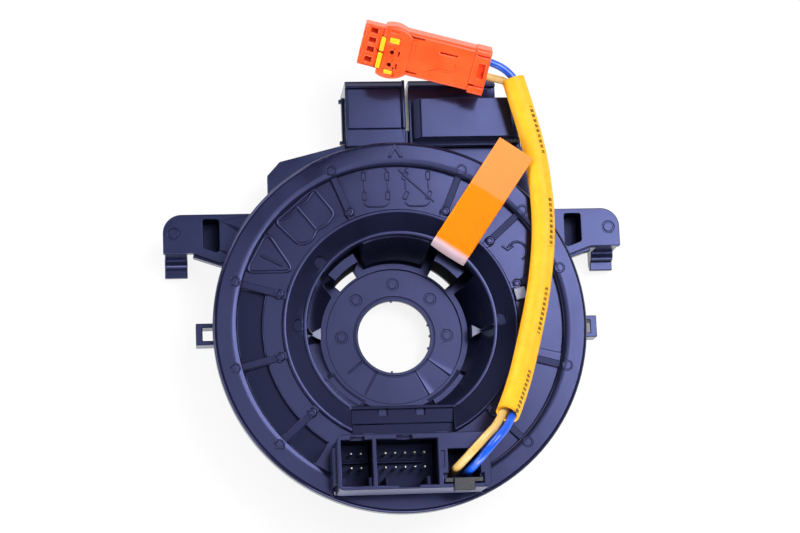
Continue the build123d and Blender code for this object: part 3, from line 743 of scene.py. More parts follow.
def spin_in_plan(turn_deg: float) -> np.ndarray:
    """The matrix that turns rows of (x, y) by an angle: (cos t, sin t) over (-sin t, cos t).

    Args:
        turn_deg: the angle.

    Returns:
        The 2 by 2 matrix.
    """
    turn = math.radians(turn_deg)
    return np.array([(math.cos(turn), math.sin(turn)), (-math.sin(turn), math.cos(turn))])


@dataclass(frozen=True)
class Surface:
    """The corners of one closed surface, in millimetres, and its four-sided faces."""

    corners: np.ndarray
    faces: np.ndarray


def over_grid(points: np.ndarray, closed_u: bool = False, closed_v: bool = False) -> Surface:
    """Joins a grid of points into four-sided faces.

    Args:
        points: the grid, of shape (rows, columns, 3).
        closed_u: the last row joins the first.
        closed_v: the last column joins the first.

    Returns:
        The surface.
    """
    rows, columns = points.shape[:2]
    number = np.arange(rows * columns).reshape(rows, columns)
    here, below = (number, np.roll(number, -1, 0)) if closed_u else (number[:-1], number[1:])
    if closed_v:
        quads = np.stack([here, np.roll(here, -1, 1), np.roll(below, -1, 1), below], -1)
    else:
        quads = np.stack([here[:, :-1], here[:, 1:], below[:, 1:], below[:, :-1]], -1)
    return Surface(points.reshape(-1, 3), quads.reshape(-1, 4))


def with_tips(points: np.ndarray) -> np.ndarray:
    """Closes both ends of a carried profile: a further row at each end stands on its middle point.

    Args:
        points: the grid, of shape (rows, columns, 3).

    Returns:
        The grid with two more rows.
    """
    first, last = (np.repeat(row.mean(1, keepdims=True), points.shape[1], 1)
                   for row in (points[:1], points[-1:]))
    return np.concatenate([first, points, last])


def piece_of(name: str, surfaces: Sequence[Surface], sharp_deg: float = 40.0) -> bpy.types.Object:
    """Makes one object of some closed surfaces, its faces turned outwards.

    Args:
        name: the piece's name.
        surfaces: what it is made of.
        sharp_deg: edges that turn more than this stay crisp.

    Returns:
        The new object, at the origin.
    """
    firsts = np.cumsum([0] + [len(surface.corners) for surface in surfaces[:-1]])
    corners = np.concatenate([surface.corners for surface in surfaces]) * MM
    faces = np.concatenate([surface.faces + first for surface, first in zip(surfaces, firsts)])
    mesh = bpy.data.meshes.new(name)
    mesh.from_pydata(corners, [], faces.tolist())
    shape = bmesh.new()
    shape.from_mesh(mesh)
    bmesh.ops.remove_doubles(shape, verts=shape.verts, dist=WELD_MM * MM)
    bmesh.ops.dissolve_degenerate(shape, edges=shape.edges, dist=SHORT_MM * MM)
    bmesh.ops.recalc_face_normals(shape, faces=shape.faces)
    for face in shape.faces:
        face.smooth = True
    for edge in shape.edges:
        edge.smooth = edge.calc_face_angle(0.0) < math.radians(sharp_deg)
    shape.to_mesh(mesh)
    shape.free()
    return linked(name, mesh)


def rounded(corners: Sequence[Plan] | np.ndarray, reach: float, closed: bool = True,
            steps: int = 7) -> np.ndarray:
    """A line in plan through some corners, each rounded off.

    A corner P becomes (1 - s)^2 A + 2 s (1 - s) P + s^2 B, where A and B lie towards its neighbours,
    at the reach or at 0.48 of the way, whichever is less.

    Args:
        corners: the points in millimetres.
        reach: how far from the corner the rounding starts.
        closed: the last corner joins the first; otherwise the ends stay where they are.
        steps: points on each rounding.

    Returns:
        The line's points, one row each.
    """
    middle = np.asarray(corners, float)
    before, after = np.roll(middle, 1, 0) - middle, np.roll(middle, -1, 0) - middle
    far = [np.linalg.norm(way, axis=1)[:, None] for way in (before, after)]
    a, b = (middle + way * np.minimum(reach / size, 0.48) for way, size in zip((before, after), far))
    s = np.linspace(0, 1, steps)[None, :, None]
    bends = (1 - s) ** 2 * a[:, None] + 2 * s * (1 - s) * middle[:, None] + s ** 2 * b[:, None]
    if closed:
        return bends.reshape(-1, 2)
    return np.vstack([middle[:1], bends[1:-1].reshape(-1, 2), middle[-1:]])


def arc(centre: Plan, radius: float, span_deg: tuple[float, float],
        steps: int = 24) -> np.ndarray:
    """Points on an arc in plan: centre + radius (cos t, sin t).

    Args:
        centre: the arc's centre.
        radius: its radius.
        span_deg: the angles at its ends.
        steps: how many points.

    Returns:
        The points, one row each.
    """
    turn = np.radians(np.linspace(*span_deg, steps))
    return np.asarray(centre) + radius * np.stack([np.cos(turn), np.sin(turn)], 1)


def ridge(line: np.ndarray, width: float | np.ndarray, height: float, base_z: float,
          closed: bool = False, sunk: float = 0.15) -> Surface:
    """A raised band with a rounded back along a line in plan.

    The profile is (w/2 sgn(cos t) |cos t|^0.6, h sin(t)^0.6), carried along the line on its mitres:
    the sum of the two neighbouring normals over 1 plus their dot product.

    Args:
        line: the middle of the band, one (x, y) row each.
        width: its width, or one width for each row.
        height: its height over the base.
        base_z: height of the face that it stands on.
        closed: the line's end joins its start.
        sunk: how far its foot reaches into the face.

    Returns:
        The band's surface.
    """
    ahead = np.roll(line, -1, 0) - line
    if not closed:
        ahead[-1] = ahead[-2]
    ahead = unit(ahead)
    normal = np.stack([-ahead[:, 1], ahead[:, 0]], 1)
    back = np.roll(normal, 1, 0)
    if not closed:
        back[0] = normal[0]
    mitre = (normal + back) / (1 + (normal * back).sum(1))[:, None]
    t = np.linspace(0, math.pi, 9)
    sideways = np.sign(np.cos(t)) * np.abs(np.cos(t)) ** 0.6 / 2
    upward = base_z + height * np.abs(np.sin(t)) ** 0.6
    sideways = np.concatenate([sideways, [-0.5, 0.5]])
    upward = np.concatenate([upward, [base_z - sunk] * 2])
    spread = np.broadcast_to(np.asarray(width, float), len(line))
    plan = line[:, None] + sideways[None, :, None] * spread[:, None, None] * mitre[:, None]
    points = np.concatenate([plan, np.broadcast_to(upward[None, :, None], (*plan.shape[:2], 1))], 2)
    if not closed:
        points = with_tips(points)
    return over_grid(points, closed, True)


# ---------------------------------------------------------------- airbag lead
@dataclass
class AirbagLead:
    """Two wires in a sleeve, from the steering-side connector to the airbag connector."""

    wire_d: float = 2.1
    sleeve_r: tuple[float, float] = (2.4, 3.1)
    wire_offset: float = 1.15
    sleeve_route: tuple[Point, ...] = (
        (24.8, -26.6, 38.9), (28.2, -20.0, 34.7), (32.6, -6.8, 30.2), (37.0, 9.2, 26.8),
        (39.2, 26.0, 25.8), (38.2, 42.0, 25.8), (36.0, 54.0, 25.2), (32.7, 66.2, 25.0),
    )
    yellow_start: tuple[Point, ...] = (
        (10.9, -40.3, 24.0), (10.9, -40.3, 34.8), (12.1, -39.1, 39.2), (14.6, -36.5, 42.6),
        (18.4, -32.6, 43.6), (22.2, -29.0, 40.6),
    )
    blue_start: tuple[Point, ...] = (
        (14.3, -41.0, 24.0), (14.3, -41.0, 34.8), (15.4, -39.8, 39.2), (17.7, -37.2, 42.6),
        (21.1, -33.3, 43.6), (24.6, -29.9, 40.7),
    )
    yellow_end: tuple[Point, ...] = (
        (32.9, 60.6, 25.1), (31.2, 65.6, 24.9), (28.0, 66.59, 24.52), (23.28, 67.85, 24.52),
    )
    blue_end: tuple[Point, ...] = (
        (35.4, 61.3, 25.4), (32.7, 66.8, 25.9), (28.28, 70.3, 26.38), (24.22, 71.38, 26.38),
    )

    def beside(self, offset: float) -> list[Point]:
        """The sleeve's route moved sideways in plan.

        Args:
            offset: how far to its left, in millimetres.

        Returns:
            The moved points, without the two ends.
        """
        route = np.array(self.sleeve_route)
        ahead = np.vstack([route[1:], route[-1:]]) - np.vstack([route[:1], route[:-1]])
        side = np.stack([-ahead[:, 1], ahead[:, 0]], 1) / np.hypot(ahead[:, 0], ahead[:, 1])[:, None]
        route[:, :2] += offset * side
        return [tuple(point) for point in route[1:-1]]

    def spline(self, name: str, route: Iterable[Point], radius: float = 0.0) -> bpy.types.Object:
        """A smooth curve with the route's points as its control points.

        Args:
            name: the curve's name.
            route: points in millimetres.
            radius: half the cord's thickness, or 0 for a bare line.

        Returns:
            The curve object.
        """
        points = list(route)
        curve = bpy.data.curves.new(name, "CURVE")
        curve.dimensions = "3D"
        curve.bevel_depth = radius * MM
        curve.bevel_resolution = 6
        curve.use_fill_caps = True
        line = curve.splines.new("NURBS")
        line.points.add(len(points) - 1)
        for control, point in zip(line.points, points):
            control.co = (*[c * MM for c in point], 1.0)
        line.order_u = 3
        line.use_endpoint_u = True
        line.resolution_u = 16
        return linked(name, curve)

    def path(self, route: Iterable[Point]) -> np.ndarray:
        """Points along the smooth curve of a route, read from its spline.

        Args:
            route: points in millimetres.

        Returns:
            The curve's points in metres, one row each.
        """
        curve = self.spline("reading_line", route)
        mesh = bpy.data.meshes.new_from_object(curve)
        line = np.array([vertex.co[:] for vertex in mesh.vertices])
        bpy.data.objects.remove(curve)
        bpy.data.meshes.remove(mesh)
        return line

    def build(self) -> None:
        """Makes the wires, the sleeve and the connector's pieces."""
        wires = (
            ("airbag_wire_yellow", "lead_wire_yellow", self.yellow_start, self.wire_offset,
             self.yellow_end, Finish.WIRE_YELLOW, "wire_yellow"),
            ("airbag_wire_blue", "lead_wire_blue", self.blue_start, -self.wire_offset,
             self.blue_end, Finish.WIRE_BLUE, "wire_blue"),
        )
        plug = [moulded(*row) for row in (
            ("airbag_connector_body", Finish.CONNECTOR, 0.3, 3),
            ("airbag_connector_cap", Finish.CONNECTOR, 0.3, 3),
            ("airbag_connector_lock", Finish.LOCK, 0.2, 3),
            ("airbag_terminals", Finish.TIN, 0.08, 1),
        )]
        for name, node, start, offset, end, finish, slot in wires:
            route = [*start, *self.beside(offset), *end]
            wire = self.spline(name, route, self.wire_d / 2)
            put_on(wire, "rotor", finish, [node])
            length = float(np.linalg.norm(np.diff(self.path(route), axis=0), axis=1).sum())
        self.sleeve()

    def sleeve(self) -> None:
        """Makes the sleeve as a hollow tube: a ring profile carried along the smooth path."""
        line = self.path(self.sleeve_route)
        piece = piece_of("airbag_lead_sleeve", [swept_ring(line / MM, *self.sleeve_r)])
        mark_lie(piece, line)
        put_on(piece, "rotor", Finish.SLEEVE, ["lead_sleeve"])


def mark_lie(piece: bpy.types.Object, line: np.ndarray) -> None:
    """Notes on each corner of a tube how it lies: the attribute "lie" that its print follows.

    Args:
        piece: the tube.
        line: its middle line, in metres.
    """
    corners = np.empty(3 * len(piece.data.vertices))
    piece.data.vertices.foreach_get("co", corners)
    corners = corners.reshape(-1, 3)
    nearest = np.argmin(np.linalg.norm(corners[:, None] - line[None], axis=2), axis=1)
    along = np.concatenate([[0.0], np.cumsum(np.linalg.norm(np.diff(line, axis=0), axis=1))]) / MM
    side, up = frames_along(line)
    out = unit(corners - line[nearest])
    lie = np.stack([along[nearest], (out * side[nearest]).sum(1), (out * up[nearest]).sum(1)], 1)
    piece.data.attributes.new("lie", "FLOAT_VECTOR", "POINT").data.foreach_set("vector", lie.ravel())


def frames_along(line: np.ndarray) -> tuple[np.ndarray, np.ndarray]:
    """Two directions across a line at each of its points, with no twist about +Z.

    Args:
        line: points, one row each.

    Returns:
        The level sideways direction, and the one square to it and to the line.
    """
    ahead = unit(np.gradient(line, axis=0))
    side = unit(np.cross(ahead, (0.0, 0.0, 1.0)))
    return side, np.cross(side, ahead)


def swept_ring(line: np.ndarray, inner: float, outer: float, around: int = 40,
               lip_share: float = 0.12) -> Surface:
    """A hollow tube with rounded ends, as a closed surface of profile step by turn.

    The profile runs along the outside, round the far end, back along the inside and round the near
    end; each of its points is carried round the line at (radius cos t, radius sin t).

    Args:
        line: the tube's centre line.
        inner: bore radius.
        outer: outside radius.
        around: points round the tube.
        lip_share: how far its ends are rounded, as a share of the wall.

    Returns:
        The tube's surface.
    """
    side, up = frames_along(line)
    last = len(line) - 1
    lip = lip_share * (outer - inner)
    rows = [(i, outer) for i in range(last + 1)] + [(last, outer - lip), (last, inner + lip)]
    rows += [(i, inner) for i in range(last, -1, -1)] + [(0, inner + lip), (0, outer - lip)]
    index = np.array([i for i, _ in rows])
    radius = np.array([r for _, r in rows])
    turn = np.linspace(0, 2 * math.pi, around, endpoint=False)
    across = (np.cos(turn)[None, :, None] * side[index][:, None]
              + np.sin(turn)[None, :, None] * up[index][:, None])
    return over_grid(line[index][:, None] + radius[:, None, None] * across, True, True)


# ---------------------------------------------------------------- rotor and stator
@dataclass(frozen=True)
class Mark:
    """A raised line: its points in plan, width and height, and how far its corners are rounded off."""

    points: tuple[Plan, ...]
    width: float
    height: float
    reach: float = 0.0
    closed: bool = False

    def band(self, base_z: float) -> Surface:
        """Raises it on a face at this height."""
        line = rounded(self.points, self.reach, self.closed) if self.reach else np.array(self.points)
        return ridge(line, self.width, self.height, base_z, self.closed)


@dataclass
class DiscMarks:
    """Raised guide pictures on the disc's sunken panel: plain shapes with no lettering.

    A car's ends are given as how far in their corners sit, how far their sides reach back and how far
    those spread.
    """

    panel_z: float = 20.5
    # a warning triangle with a lever in it, then a booklet with its fold and a line on each page
    pictures: tuple[Mark, ...] = (
        Mark(((-35.0, 26.1), (-41.0, 15.2), (-28.2, 15.3)), 0.95, 0.45, 2.4, True),
        Mark(((-36.7, 19.8), (-34.6, 18.7), (-31.2, 16.9)), 0.8, 0.3, 1.0),
        Mark(((-32.7, 28.7), (-22.2, 37.8), (-16.8, 30.8), (-19.0, 27.7), (-21.9, 26.4), (-22.7, 24.0),
              (-24.6, 22.8), (-26.7, 22.6)), 0.95, 0.45, 1.3, True),
        Mark(((-26.9, 32.9), (-21.9, 26.6)), 0.95, 0.45),
        Mark(((-31.4, 29.3), (-29.0, 30.0), (-27.0, 32.4)), 0.8, 0.45, 1.6),
        Mark(((-26.5, 32.8), (-24.1, 34.2), (-22.5, 36.8)), 0.8, 0.45, 1.6),
    )
    slash: Mark = Mark(((0.9, 42.7), (3.3, 40.1), (10.3, 33.6)), 0.55, 0.3)
    cars: tuple[Plan, ...] = ((-5.3, 6.3), (5.8, 6.2))
    car_y: tuple[float, float] = (32.5, 43.5)
    car_ends: tuple[Point, Point] = ((0.7, 1.2, 0.3), (1.1, -1.0, 0.0))
    car_line: tuple[float, float] = (0.42, 0.3)
    corner: float = 0.8
    wheel_y: tuple[float, float] = (35.5, 40.9)
    wheel_gaps: tuple[float, float] = (1.6, 1.5)
    wheel: tuple[float, float] = (1.05, 2.2)
    wheel_line: tuple[float, float] = (0.36, 0.3)
    steer_deg: float = -28.0
    arrow: tuple[Plan, float, tuple[float, float]] = ((32.2, 19.6), 2.6, (-60.0, 170.0))
    arrow_head: tuple[Plan, ...] = ((1.6, 1.1), (0.0, 0.0), (-1.5, 1.2))
    arrow_line: tuple[float, float] = (0.7, 0.35)

    def car(self, middle: float, width: float, steer_deg: float, crossed: bool) -> list[Surface]:
        """A vehicle seen from above: two rounded ends, sides and four wheels.

        Args:
            middle: x of its axis.
            width: across its wheels.
            steer_deg: how far the wheels at its lower end and one upper wheel are turned.
            crossed: a slash lies over it.

        Returns:
            Its bands.
        """
        half = width / 2
        bands = []
        for y, (inward, back, spread) in zip(self.car_y, self.car_ends):
            end = ((middle - half - spread, y + back), (middle - half + inward, y),
                   (middle + half - inward, y), (middle + half + spread, y + back))
            bands.append(Mark(end, *self.car_line, self.corner).band(self.panel_z))
        for side in (-1, 1):
            x = middle + side * half
            flank = ((x, self.wheel_y[0] + self.wheel_gaps[0]), (x, self.wheel_y[1] - self.wheel_gaps[1]))
            bands.append(Mark(flank, *self.car_line).band(self.panel_z))
            for y, turn in zip(self.wheel_y, (steer_deg, steer_deg if crossed and side < 0 else 0.0)):
                bands.append(self.wheel_ring((x, y), turn))
        return bands + [self.slash.band(self.panel_z)] * crossed

    def wheel_ring(self, place: Plan, turn_deg: float) -> Surface:
        """A wheel's outline: a rounded rectangle turned about its middle.

        Args:
            place: its middle.
            turn_deg: how far it is turned.

        Returns:
            The outline's band.
        """
        across, along = self.wheel[0] / 2, self.wheel[1] / 2
        corners = np.array([(-across, -along), (across, -along), (across, along), (-across, along)])
        corners = corners @ spin_in_plan(turn_deg)
        return ridge(rounded(corners + place, 0.3, True, 4), *self.wheel_line, self.panel_z, True)

    def turn_arrow(self) -> list[Surface]:
        """An arc with a head, for the direction of turning."""
        line = arc(*self.arrow)
        return [ridge(shape, *self.arrow_line, self.panel_z) for shape in (line, line[-1] + self.arrow_head)]

    def build(self) -> None:
        """Makes all the marks one piece on the rotor."""
        bands = [
            *[mark.band(self.panel_z) for mark in self.pictures],
            *self.car(*self.cars[0], 0.0, False),
            *self.car(*self.cars[1], self.steer_deg, True),
            *self.turn_arrow(),
        ]
        put_on(piece_of("disc_guide_marks", bands), "rotor", Finish.DISC)


@dataclass
class DiscEdges:
    """The rim's inner border and the bead on the funnel's lip, each one even ring of revolution."""

    border: tuple[tuple[float, float], ...] = (
        (45.4, 22.51), (44.9, 22.5), (44.3, 22.4), (43.9, 22.31), (43.72, 22.22), (43.64, 22.05),
        (43.42, 20.45), (45.4, 20.45),
    )
    bead_r: float = 25.6
    bead_form: tuple[float, float, float] = (1.06, 0.14, 19.6)
    bead_span: tuple[float, float] = (-56.5, 236.5)
    trough_y: tuple[float, float] = (-31.1, -26.05)
    trough_x: tuple[float, float] = (-13.85, 13.15)
    trough_z: float = 18.62
    trough_sheet: tuple[float, float] = (0.04, 0.7)
    around: int = 360

    def build(self) -> None:
        """Makes the rings, and the floor of the trough in front of the connector, a near-black sheet of
        painted shade.
        """
        turn = np.linspace(0, 2 * math.pi, self.around, endpoint=False)
        radius, height = np.array(self.border).T
        ring = np.stack([radius * np.cos(turn)[:, None], radius * np.sin(turn)[:, None],
                         np.broadcast_to(height, (self.around, len(height)))], 2)
        bead = ridge(arc((0, 0), self.bead_r, self.bead_span, self.around), *self.bead_form)
        put_on(piece_of("disc_edge_rings", [over_grid(ring, True, True), bead]), "rotor",
               Finish.DISC)
        # near-black sheet: painted shade on the trough's floor
        middle, width = sum(self.trough_y) / 2, self.trough_y[1] - self.trough_y[0]
        above, below = self.trough_sheet
        floor = ridge(np.array([(x, middle) for x in self.trough_x]), width, above, self.trough_z, sunk=below)
        put_on(piece_of("disc_trough_floor_painted_shade", [floor]), "rotor", Finish.RECESS)


@dataclass
class HubDetails:
    """Painted shade round the hub's lower bars, as thin near-black skins over the slots' floors, and flash in
    the bore.
    """

    spans: tuple[tuple[float, float], ...] = ((210.5, 243.5), (296.5, 329.5))
    radii: tuple[float, float] = (19.75, 22.6)
    skin_form: tuple[float, float, float] = (0.8, 0.04, 2.6)
    flash_deg: tuple[float, ...] = (93.0, 264.5, 18.0, 0.0, 340.0)
    flash_r: tuple[float, float] = (10.3, 9.55)
    flash_form: tuple[float, float, float] = (0.55, 0.2, 1.7)
    flash_sunk: float = 0.6

    def build(self) -> None:
        """Makes one loop round each bar, and the bits of flash."""
        loops = [np.vstack([arc((0, 0), self.radii[1], span), arc((0, 0), self.radii[0], span[::-1])])
                 for span in self.spans]
        # near-black skins: painted shade in the gaps round the bars
        skins = [ridge(loop, *self.skin_form, True) for loop in loops]
        put_on(piece_of("hub_slot_painted_shade", skins), "rotor", Finish.RECESS)
        ways = [(math.cos(turn), math.sin(turn)) for turn in map(math.radians, self.flash_deg)]
        bits = [ridge(np.outer(self.flash_r, way), *self.flash_form, sunk=self.flash_sunk) for way in ways]
        put_on(piece_of("hub_bore_flash", bits), "rotor", Finish.HUB)


@dataclass
class LockingStrip:
    """The stiff strip that blocks the rotor until it is fitted: flat, with its lower end curled in.

    Its line is given as how far out and how high each point lies.
    """

    turn_deg: float = 55.2
    half_width: float = 5.3
    thickness: float = 0.32
    line: tuple[Plan, ...] = (
        (24.0, 16.8), (24.2, 19.3), (24.9, 21.2), (26.6, 22.2), (31.9, 23.3), (43.0, 25.9), (56.2, 28.9),
    )
    crown: float = 0.25
    edge: float = 0.13
    along_steps: int = 14
    across_points: int = 25

    def build(self) -> None:
        """Makes the strip as a closed sheet and puts it in the disc's opening."""
        piece = piece_of("locking_strip", [self.sheet()], 60.0)
        put_on(piece, "rotor", Finish.STRIP, ["locking_tape"])

    def sheet(self) -> Surface:
        """The strip's outside, as profile point by station along it.

        The middle line is a B-spline (s^2 blending) of the line's points; across it the profile is a
        flat ring with half-round edges, bowed by crown (1 - (x / half width)^2).

        Returns:
            The strip's closed surface.
        """
        middle = quadratic_spline(np.array(self.line), self.along_steps)
        ahead = unit(np.gradient(middle, axis=0))
        normal = np.stack([-ahead[:, 1], ahead[:, 0]], 1)
        count = self.across_points
        x = np.linspace(-1, 1, count) * (self.half_width - self.edge)
        across = np.concatenate([x, [self.half_width], x[::-1], [-self.half_width]])
        bow = self.crown * (1 - (across / self.half_width) ** 2)
        half = self.thickness / 2
        lift = bow + np.concatenate([np.full(count, half), [0.0], np.full(count, -half), [0.0]])
        station = middle[:, None] + lift[None, :, None] * normal[:, None]
        sideways = np.broadcast_to(across, station.shape[:2])
        level = np.stack([station[..., 0], -sideways, station[..., 1]], -1)
        level = with_tips(level)
        spin = np.eye(3)
        spin[:2, :2] = spin_in_plan(self.turn_deg)
        return over_grid(level @ spin, False, True)


def quadratic_spline(control: np.ndarray, steps: int) -> np.ndarray:
    """Points on the quadratic B-spline of some control points, clamped at both ends.

    Span i is (1 - s)^2 A + 2 s (1 - s) P + s^2 B, with P a control point and A and B the middles of
    the legs beside it, or the end points themselves.

    Args:
        control: control points, one row each.
        steps: points on each span.

    Returns:
        The curve's points, one row each.
    """
    middle = (control[:-1] + control[1:]) / 2
    middle[0], middle[-1] = control[0], control[-1]
    s = np.linspace(0, 1, steps, endpoint=False)[None, :, None]
    a, b, p = middle[:-1, None], middle[1:, None], control[1:-1, None]
    spans = (1 - s) ** 2 * a + 2 * s * (1 - s) * p + s ** 2 * b
    return np.vstack([spans.reshape(-1, control.shape[1]), control[-1:]])


@dataclass
class Rotor:
    """Disc, hub, steering-side connector and strip: everything that turns with the wheel."""

    sloping_ring: Zone = Zone(z=(19.5, 21.7), radius=(26.2, 30.78))
    sunken_sectors: Zone = Zone(z=(19.6, 20.35), radius=(37.05, 43.6))
    shelf: Zone = Zone(z=(19.0, 19.75), x=(-14.0, 13.3), y=(-26.3, -21.3))
    rib_tops: Zone = Zone(z=(21.4, 21.55), radius=(32.4, 44.6))
    light_block: Zone = Zone(z=(21.7, 21.85), x=(30.0, 35.0), y=(5.8, 9.8))
    pointers: Zone = Zone(z=(8.9, 9.1), y=(-2.0, 2.0), radius=(19.0, 24.0))
    latch_backs: Zone = Zone(z=(2.7, 13.5), radius=(21.2, 21.5))
    sockets: Zone = Zone(z=(23.9, 36.6), x=(-18.3, 6.7), y=(-44.0, -32.0))
    chamber: Zone = Zone(z=(23.9, 36.6), x=(9.1, 17.5), y=(-43.9, -34.9))
    outer_wall: Zone = Zone(z=(22.0, 36.8), y=(-45.2, -44.6))

    def build(self) -> None:
        """Dresses the rotor's pieces, then adds the details that are its skin."""
        # darker colour of the sloping ring, the sunken sectors, the shelf, the sockets and the chamber:
        # painted shade; pale light block and pointers: painted highlight; pale outer wall: painted reflection
        disc = {Finish.RECESS: (self.sloping_ring, self.sunken_sectors, self.shelf),
                Finish.DULL: (self.rib_tops,), Finish.INDEX: (self.light_block, self.pointers)}
        housing = {Finish.RECESS: (self.sockets, self.chamber), Finish.GROUND: (self.outer_wall,)}
        for row in (
            ("rotor_disc", Finish.DISC, 0.22, 3, disc),
            # latch backs: near-black painted shade
            ("rotor_hub", Finish.HUB, 0.18, 2, {Finish.SHADE: (self.latch_backs,)}),
            ("cancel_cam", Finish.CAM, 0.25, 2),
            ("ribbon_inner_clip", Finish.CAM, 0.15, 2),
            ("ribbon_cable", Finish.RIBBON, 0.08, 1),
            ("steering_connector_housing", Finish.DISC, 0.2, 3, housing),
            ("steering_pins", Finish.TIN, 0.06, 1),
            ("wire_clamp", Finish.CLAMP, 0.18, 3),
        ):
            moulded(*row)
        for detail in (DiscMarks(), DiscEdges(), HubDetails(), LockingStrip()):
            detail.build()


@dataclass
class Stator:
    """Case, rear cover and column-side connectors: everything that stays with the column."""

    # the ear pockets: darker colour of painted shade
    pockets: tuple[Zone, ...] = tuple(Zone(z=(3.5, 10.4), x=x, y=(22.4, 32.1))
                                      for x in ((47.3, 51.9), (-51.9, -47.3)))

    def build(self) -> None:
        """Dresses the stator's pieces."""
        for row in (
            ("stator_case", Finish.CASE, 0.22, 3, {Finish.RECESS: self.pockets}),
            ("back_cover", Finish.COVER, 0.2, 2),
            ("slip_sheet", Finish.FILM, 0.05, 1),
            ("ribbon_outer_clip", Finish.CASE, 0.15, 2),
            ("column_connector_left", Finish.CASE, 0.25, 3),
            ("column_connector_right", Finish.CASE, 0.25, 3),
            ("column_pins_left", Finish.TIN, 0.06, 1),
            ("column_pins_right", Finish.TIN, 0.06, 1),
        ):
            moulded(*row)


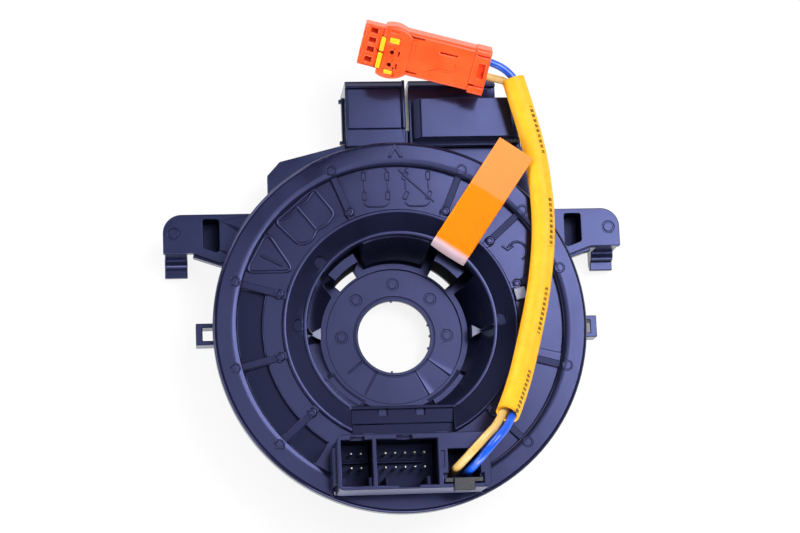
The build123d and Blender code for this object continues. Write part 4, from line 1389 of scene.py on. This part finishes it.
# ---------------------------------------------------------------- studio
@dataclass
class Studio:
    """Pale floor, soft light and the camera."""

    distance: float = 600.0
    lean_deg: float = 10.79
    swing_deg: float = 5.91
    roll_deg: float = -2.2
    face_z: float = 22.5
    focal_px: float = 2260.8
    image_px: tuple[int, int] = (800, 533)
    disc_centre_px: tuple[float, float] = (401.6, 324.4)
    sensor: float = 36.0
    floor_z: float = -4.0
    floor_mm: float = 6000.0
    floor_paint: str = "f4f4f6"
    floor_glow: float = 0.85
    room_light: str = "e9ecff"
    glow_fades: tuple[float, float] = (0.05, 0.45)
    wall_glow: float = 1.0
    ceiling_glow: float = 0.12
    lamps: tuple[tuple[str, Point, Point, tuple[float, float], float], ...] = (
        ("key_right", (350, 235, 760), (0, 0, 20), (400, 470), 6.9),
        ("overhead", (120, 0, 1050), (0, 0, 20), (480, 420), 1.9),
        ("rim_left", (-480, 620, 330), (0, 20, 20), (520, 420), 4.4),
        ("front_card", (-60, -700, 150), (0, 0, 15), (720, 240), 5.0),
        ("left_card", (-700, -160, 150), (0, 0, 15), (720, 240), 3.2),
    )

    def camera(self) -> None:
        """Places the camera: it looks down on the face, leaning towards -Y and swung to -X.

        Its middle ray misses the disc's centre by the offset that puts the centre at its own pixel.
        """
        swing, lean, roll = (math.radians(a) for a in (self.swing_deg, self.lean_deg, self.roll_deg))
        back = np.array([-math.sin(swing), -math.sin(lean) * math.cos(swing),
                         math.cos(lean) * math.cos(swing)])
        level = unit(np.cross(-back, (0.0, 1.0, 0.0)))
        upright = np.cross(level, -back)
        right = math.cos(roll) * level + math.sin(roll) * upright
        up = -math.sin(roll) * level + math.cos(roll) * upright
        u = (self.disc_centre_px[0] - self.image_px[0] / 2) / self.focal_px
        v = -(self.disc_centre_px[1] - self.image_px[1] / 2) / self.focal_px
        place = np.array([0, 0, self.face_z]) - self.distance * (-back + u * right + v * up)
        data = bpy.data.cameras.new("camera")
        data.sensor_width = self.sensor
        data.lens = self.sensor * self.focal_px / self.image_px[0]
        data.clip_start, data.clip_end = 0.05, 20.0
        camera = linked("camera", data)
        axes = np.eye(4)
        axes[:3, 0], axes[:3, 1], axes[:3, 2], axes[:3, 3] = right, up, back, place * MM
        camera.matrix_world = Matrix(axes.tolist())
        bpy.context.scene.camera = camera

    def lamp(self, name: str, place: Point, aim: Point, size: tuple[float, float],
             power: float) -> None:
        """Adds one rectangular soft light.

        Args:
            name: the light's name.
            place: where it hangs, in millimetres.
            aim: the point that it faces.
            size: its width and height in millimetres.
            power: its power in watts.
        """
        data = bpy.data.lights.new(name, "AREA")
        data.shape = "RECTANGLE"
        data.size, data.size_y = size[0] * MM, size[1] * MM
        data.energy = power
        lamp = linked(name, data)
        lamp.location = Vector(place) * MM
        lamp.rotation_euler = (Vector(aim) - Vector(place)).to_track_quat("-Z", "Y").to_euler()

    def floor(self) -> None:
        """Lays a white table that the camera and gloss see as plain white, with a soft shadow."""
        half, height = self.floor_mm / 2 * MM, self.floor_z * MM
        corners = [(-half, -half, height), (half, -half, height), (half, half, height), (-half, half, height)]
        mesh = bpy.data.meshes.new("floor")
        mesh.from_pydata(corners, [], [(0, 1, 2, 3)])
        floor = linked("floor", mesh)
        material, tree = new_material("white_table")
        seen = add(tree, "ShaderNodeLightPath")
        eye = add(tree, "ShaderNodeMath",
                  {0: seen.outputs["Is Camera Ray"], 1: seen.outputs["Is Glossy Ray"]}, operation="MAXIMUM")
        both = add(tree, "ShaderNodeMath",
                   {0: eye.outputs[0], 1: seen.outputs["Is Transmission Ray"]}, operation="MAXIMUM")
        share = add(tree, "ShaderNodeMath", {0: both.outputs[0], 1: self.floor_glow}, operation="MULTIPLY")
        paint = add(tree, "ShaderNodeBsdfDiffuse", {"Color": linear(self.floor_paint)})
        glow = add(tree, "ShaderNodeEmission", {"Color": linear("ffffff"), "Strength": 1.0})
        mix = add(tree, "ShaderNodeMixShader", {0: share.outputs[0], 1: paint.outputs[0], 2: glow.outputs[0]})
        add(tree, "ShaderNodeOutputMaterial", {"Surface": mix.outputs[0]})
        mesh.materials.append(material)

    def world(self) -> None:
        """Fills the room with an even soft light."""
        world = bpy.data.worlds.new("room")
        bpy.context.scene.world = world
        world.use_nodes = True
        tree = world.node_tree
        tree.nodes.clear()
        seen = add(tree, "ShaderNodeLightPath")
        upward = add(tree, "ShaderNodeSeparateXYZ",
                     {0: add(tree, "ShaderNodeTexCoord").outputs["Generated"]}).outputs["Z"]
        level = add(tree, "ShaderNodeMapRange",
                    {"Value": upward, "From Min": self.glow_fades[0], "From Max": self.glow_fades[1],
                     "To Min": self.wall_glow, "To Max": self.ceiling_glow},
                    interpolation_type="SMOOTHSTEP")
        fill = add(tree, "ShaderNodeBackground",
                   {"Color": linear(self.room_light), "Strength": level.outputs[0]})
        white = add(tree, "ShaderNodeBackground", {"Color": linear("ffffff"), "Strength": 1.0})
        mix = add(tree, "ShaderNodeMixShader",
                  {0: seen.outputs["Is Camera Ray"], 1: fill.outputs[0], 2: white.outputs[0]})
        add(tree, "ShaderNodeOutputWorld", {"Surface": mix.outputs[0]})

    def build(self) -> None:
        """Sets the view, the camera, the floor and the lights."""
        bpy.context.scene.view_settings.view_transform = "Standard"
        self.camera()
        self.floor()
        self.world()
        for row in self.lamps:
            self.lamp(*row)


def main() -> None:
    """Builds the object and its studio, in order."""
    logging.basicConfig(level=logging.INFO, format="%(message)s")
    Studio().build()
    AirbagLead().build()
    Rotor().build()
    Stator().build()
    bpy.context.view_layer.update()


if __name__ == "__main__":
    main()
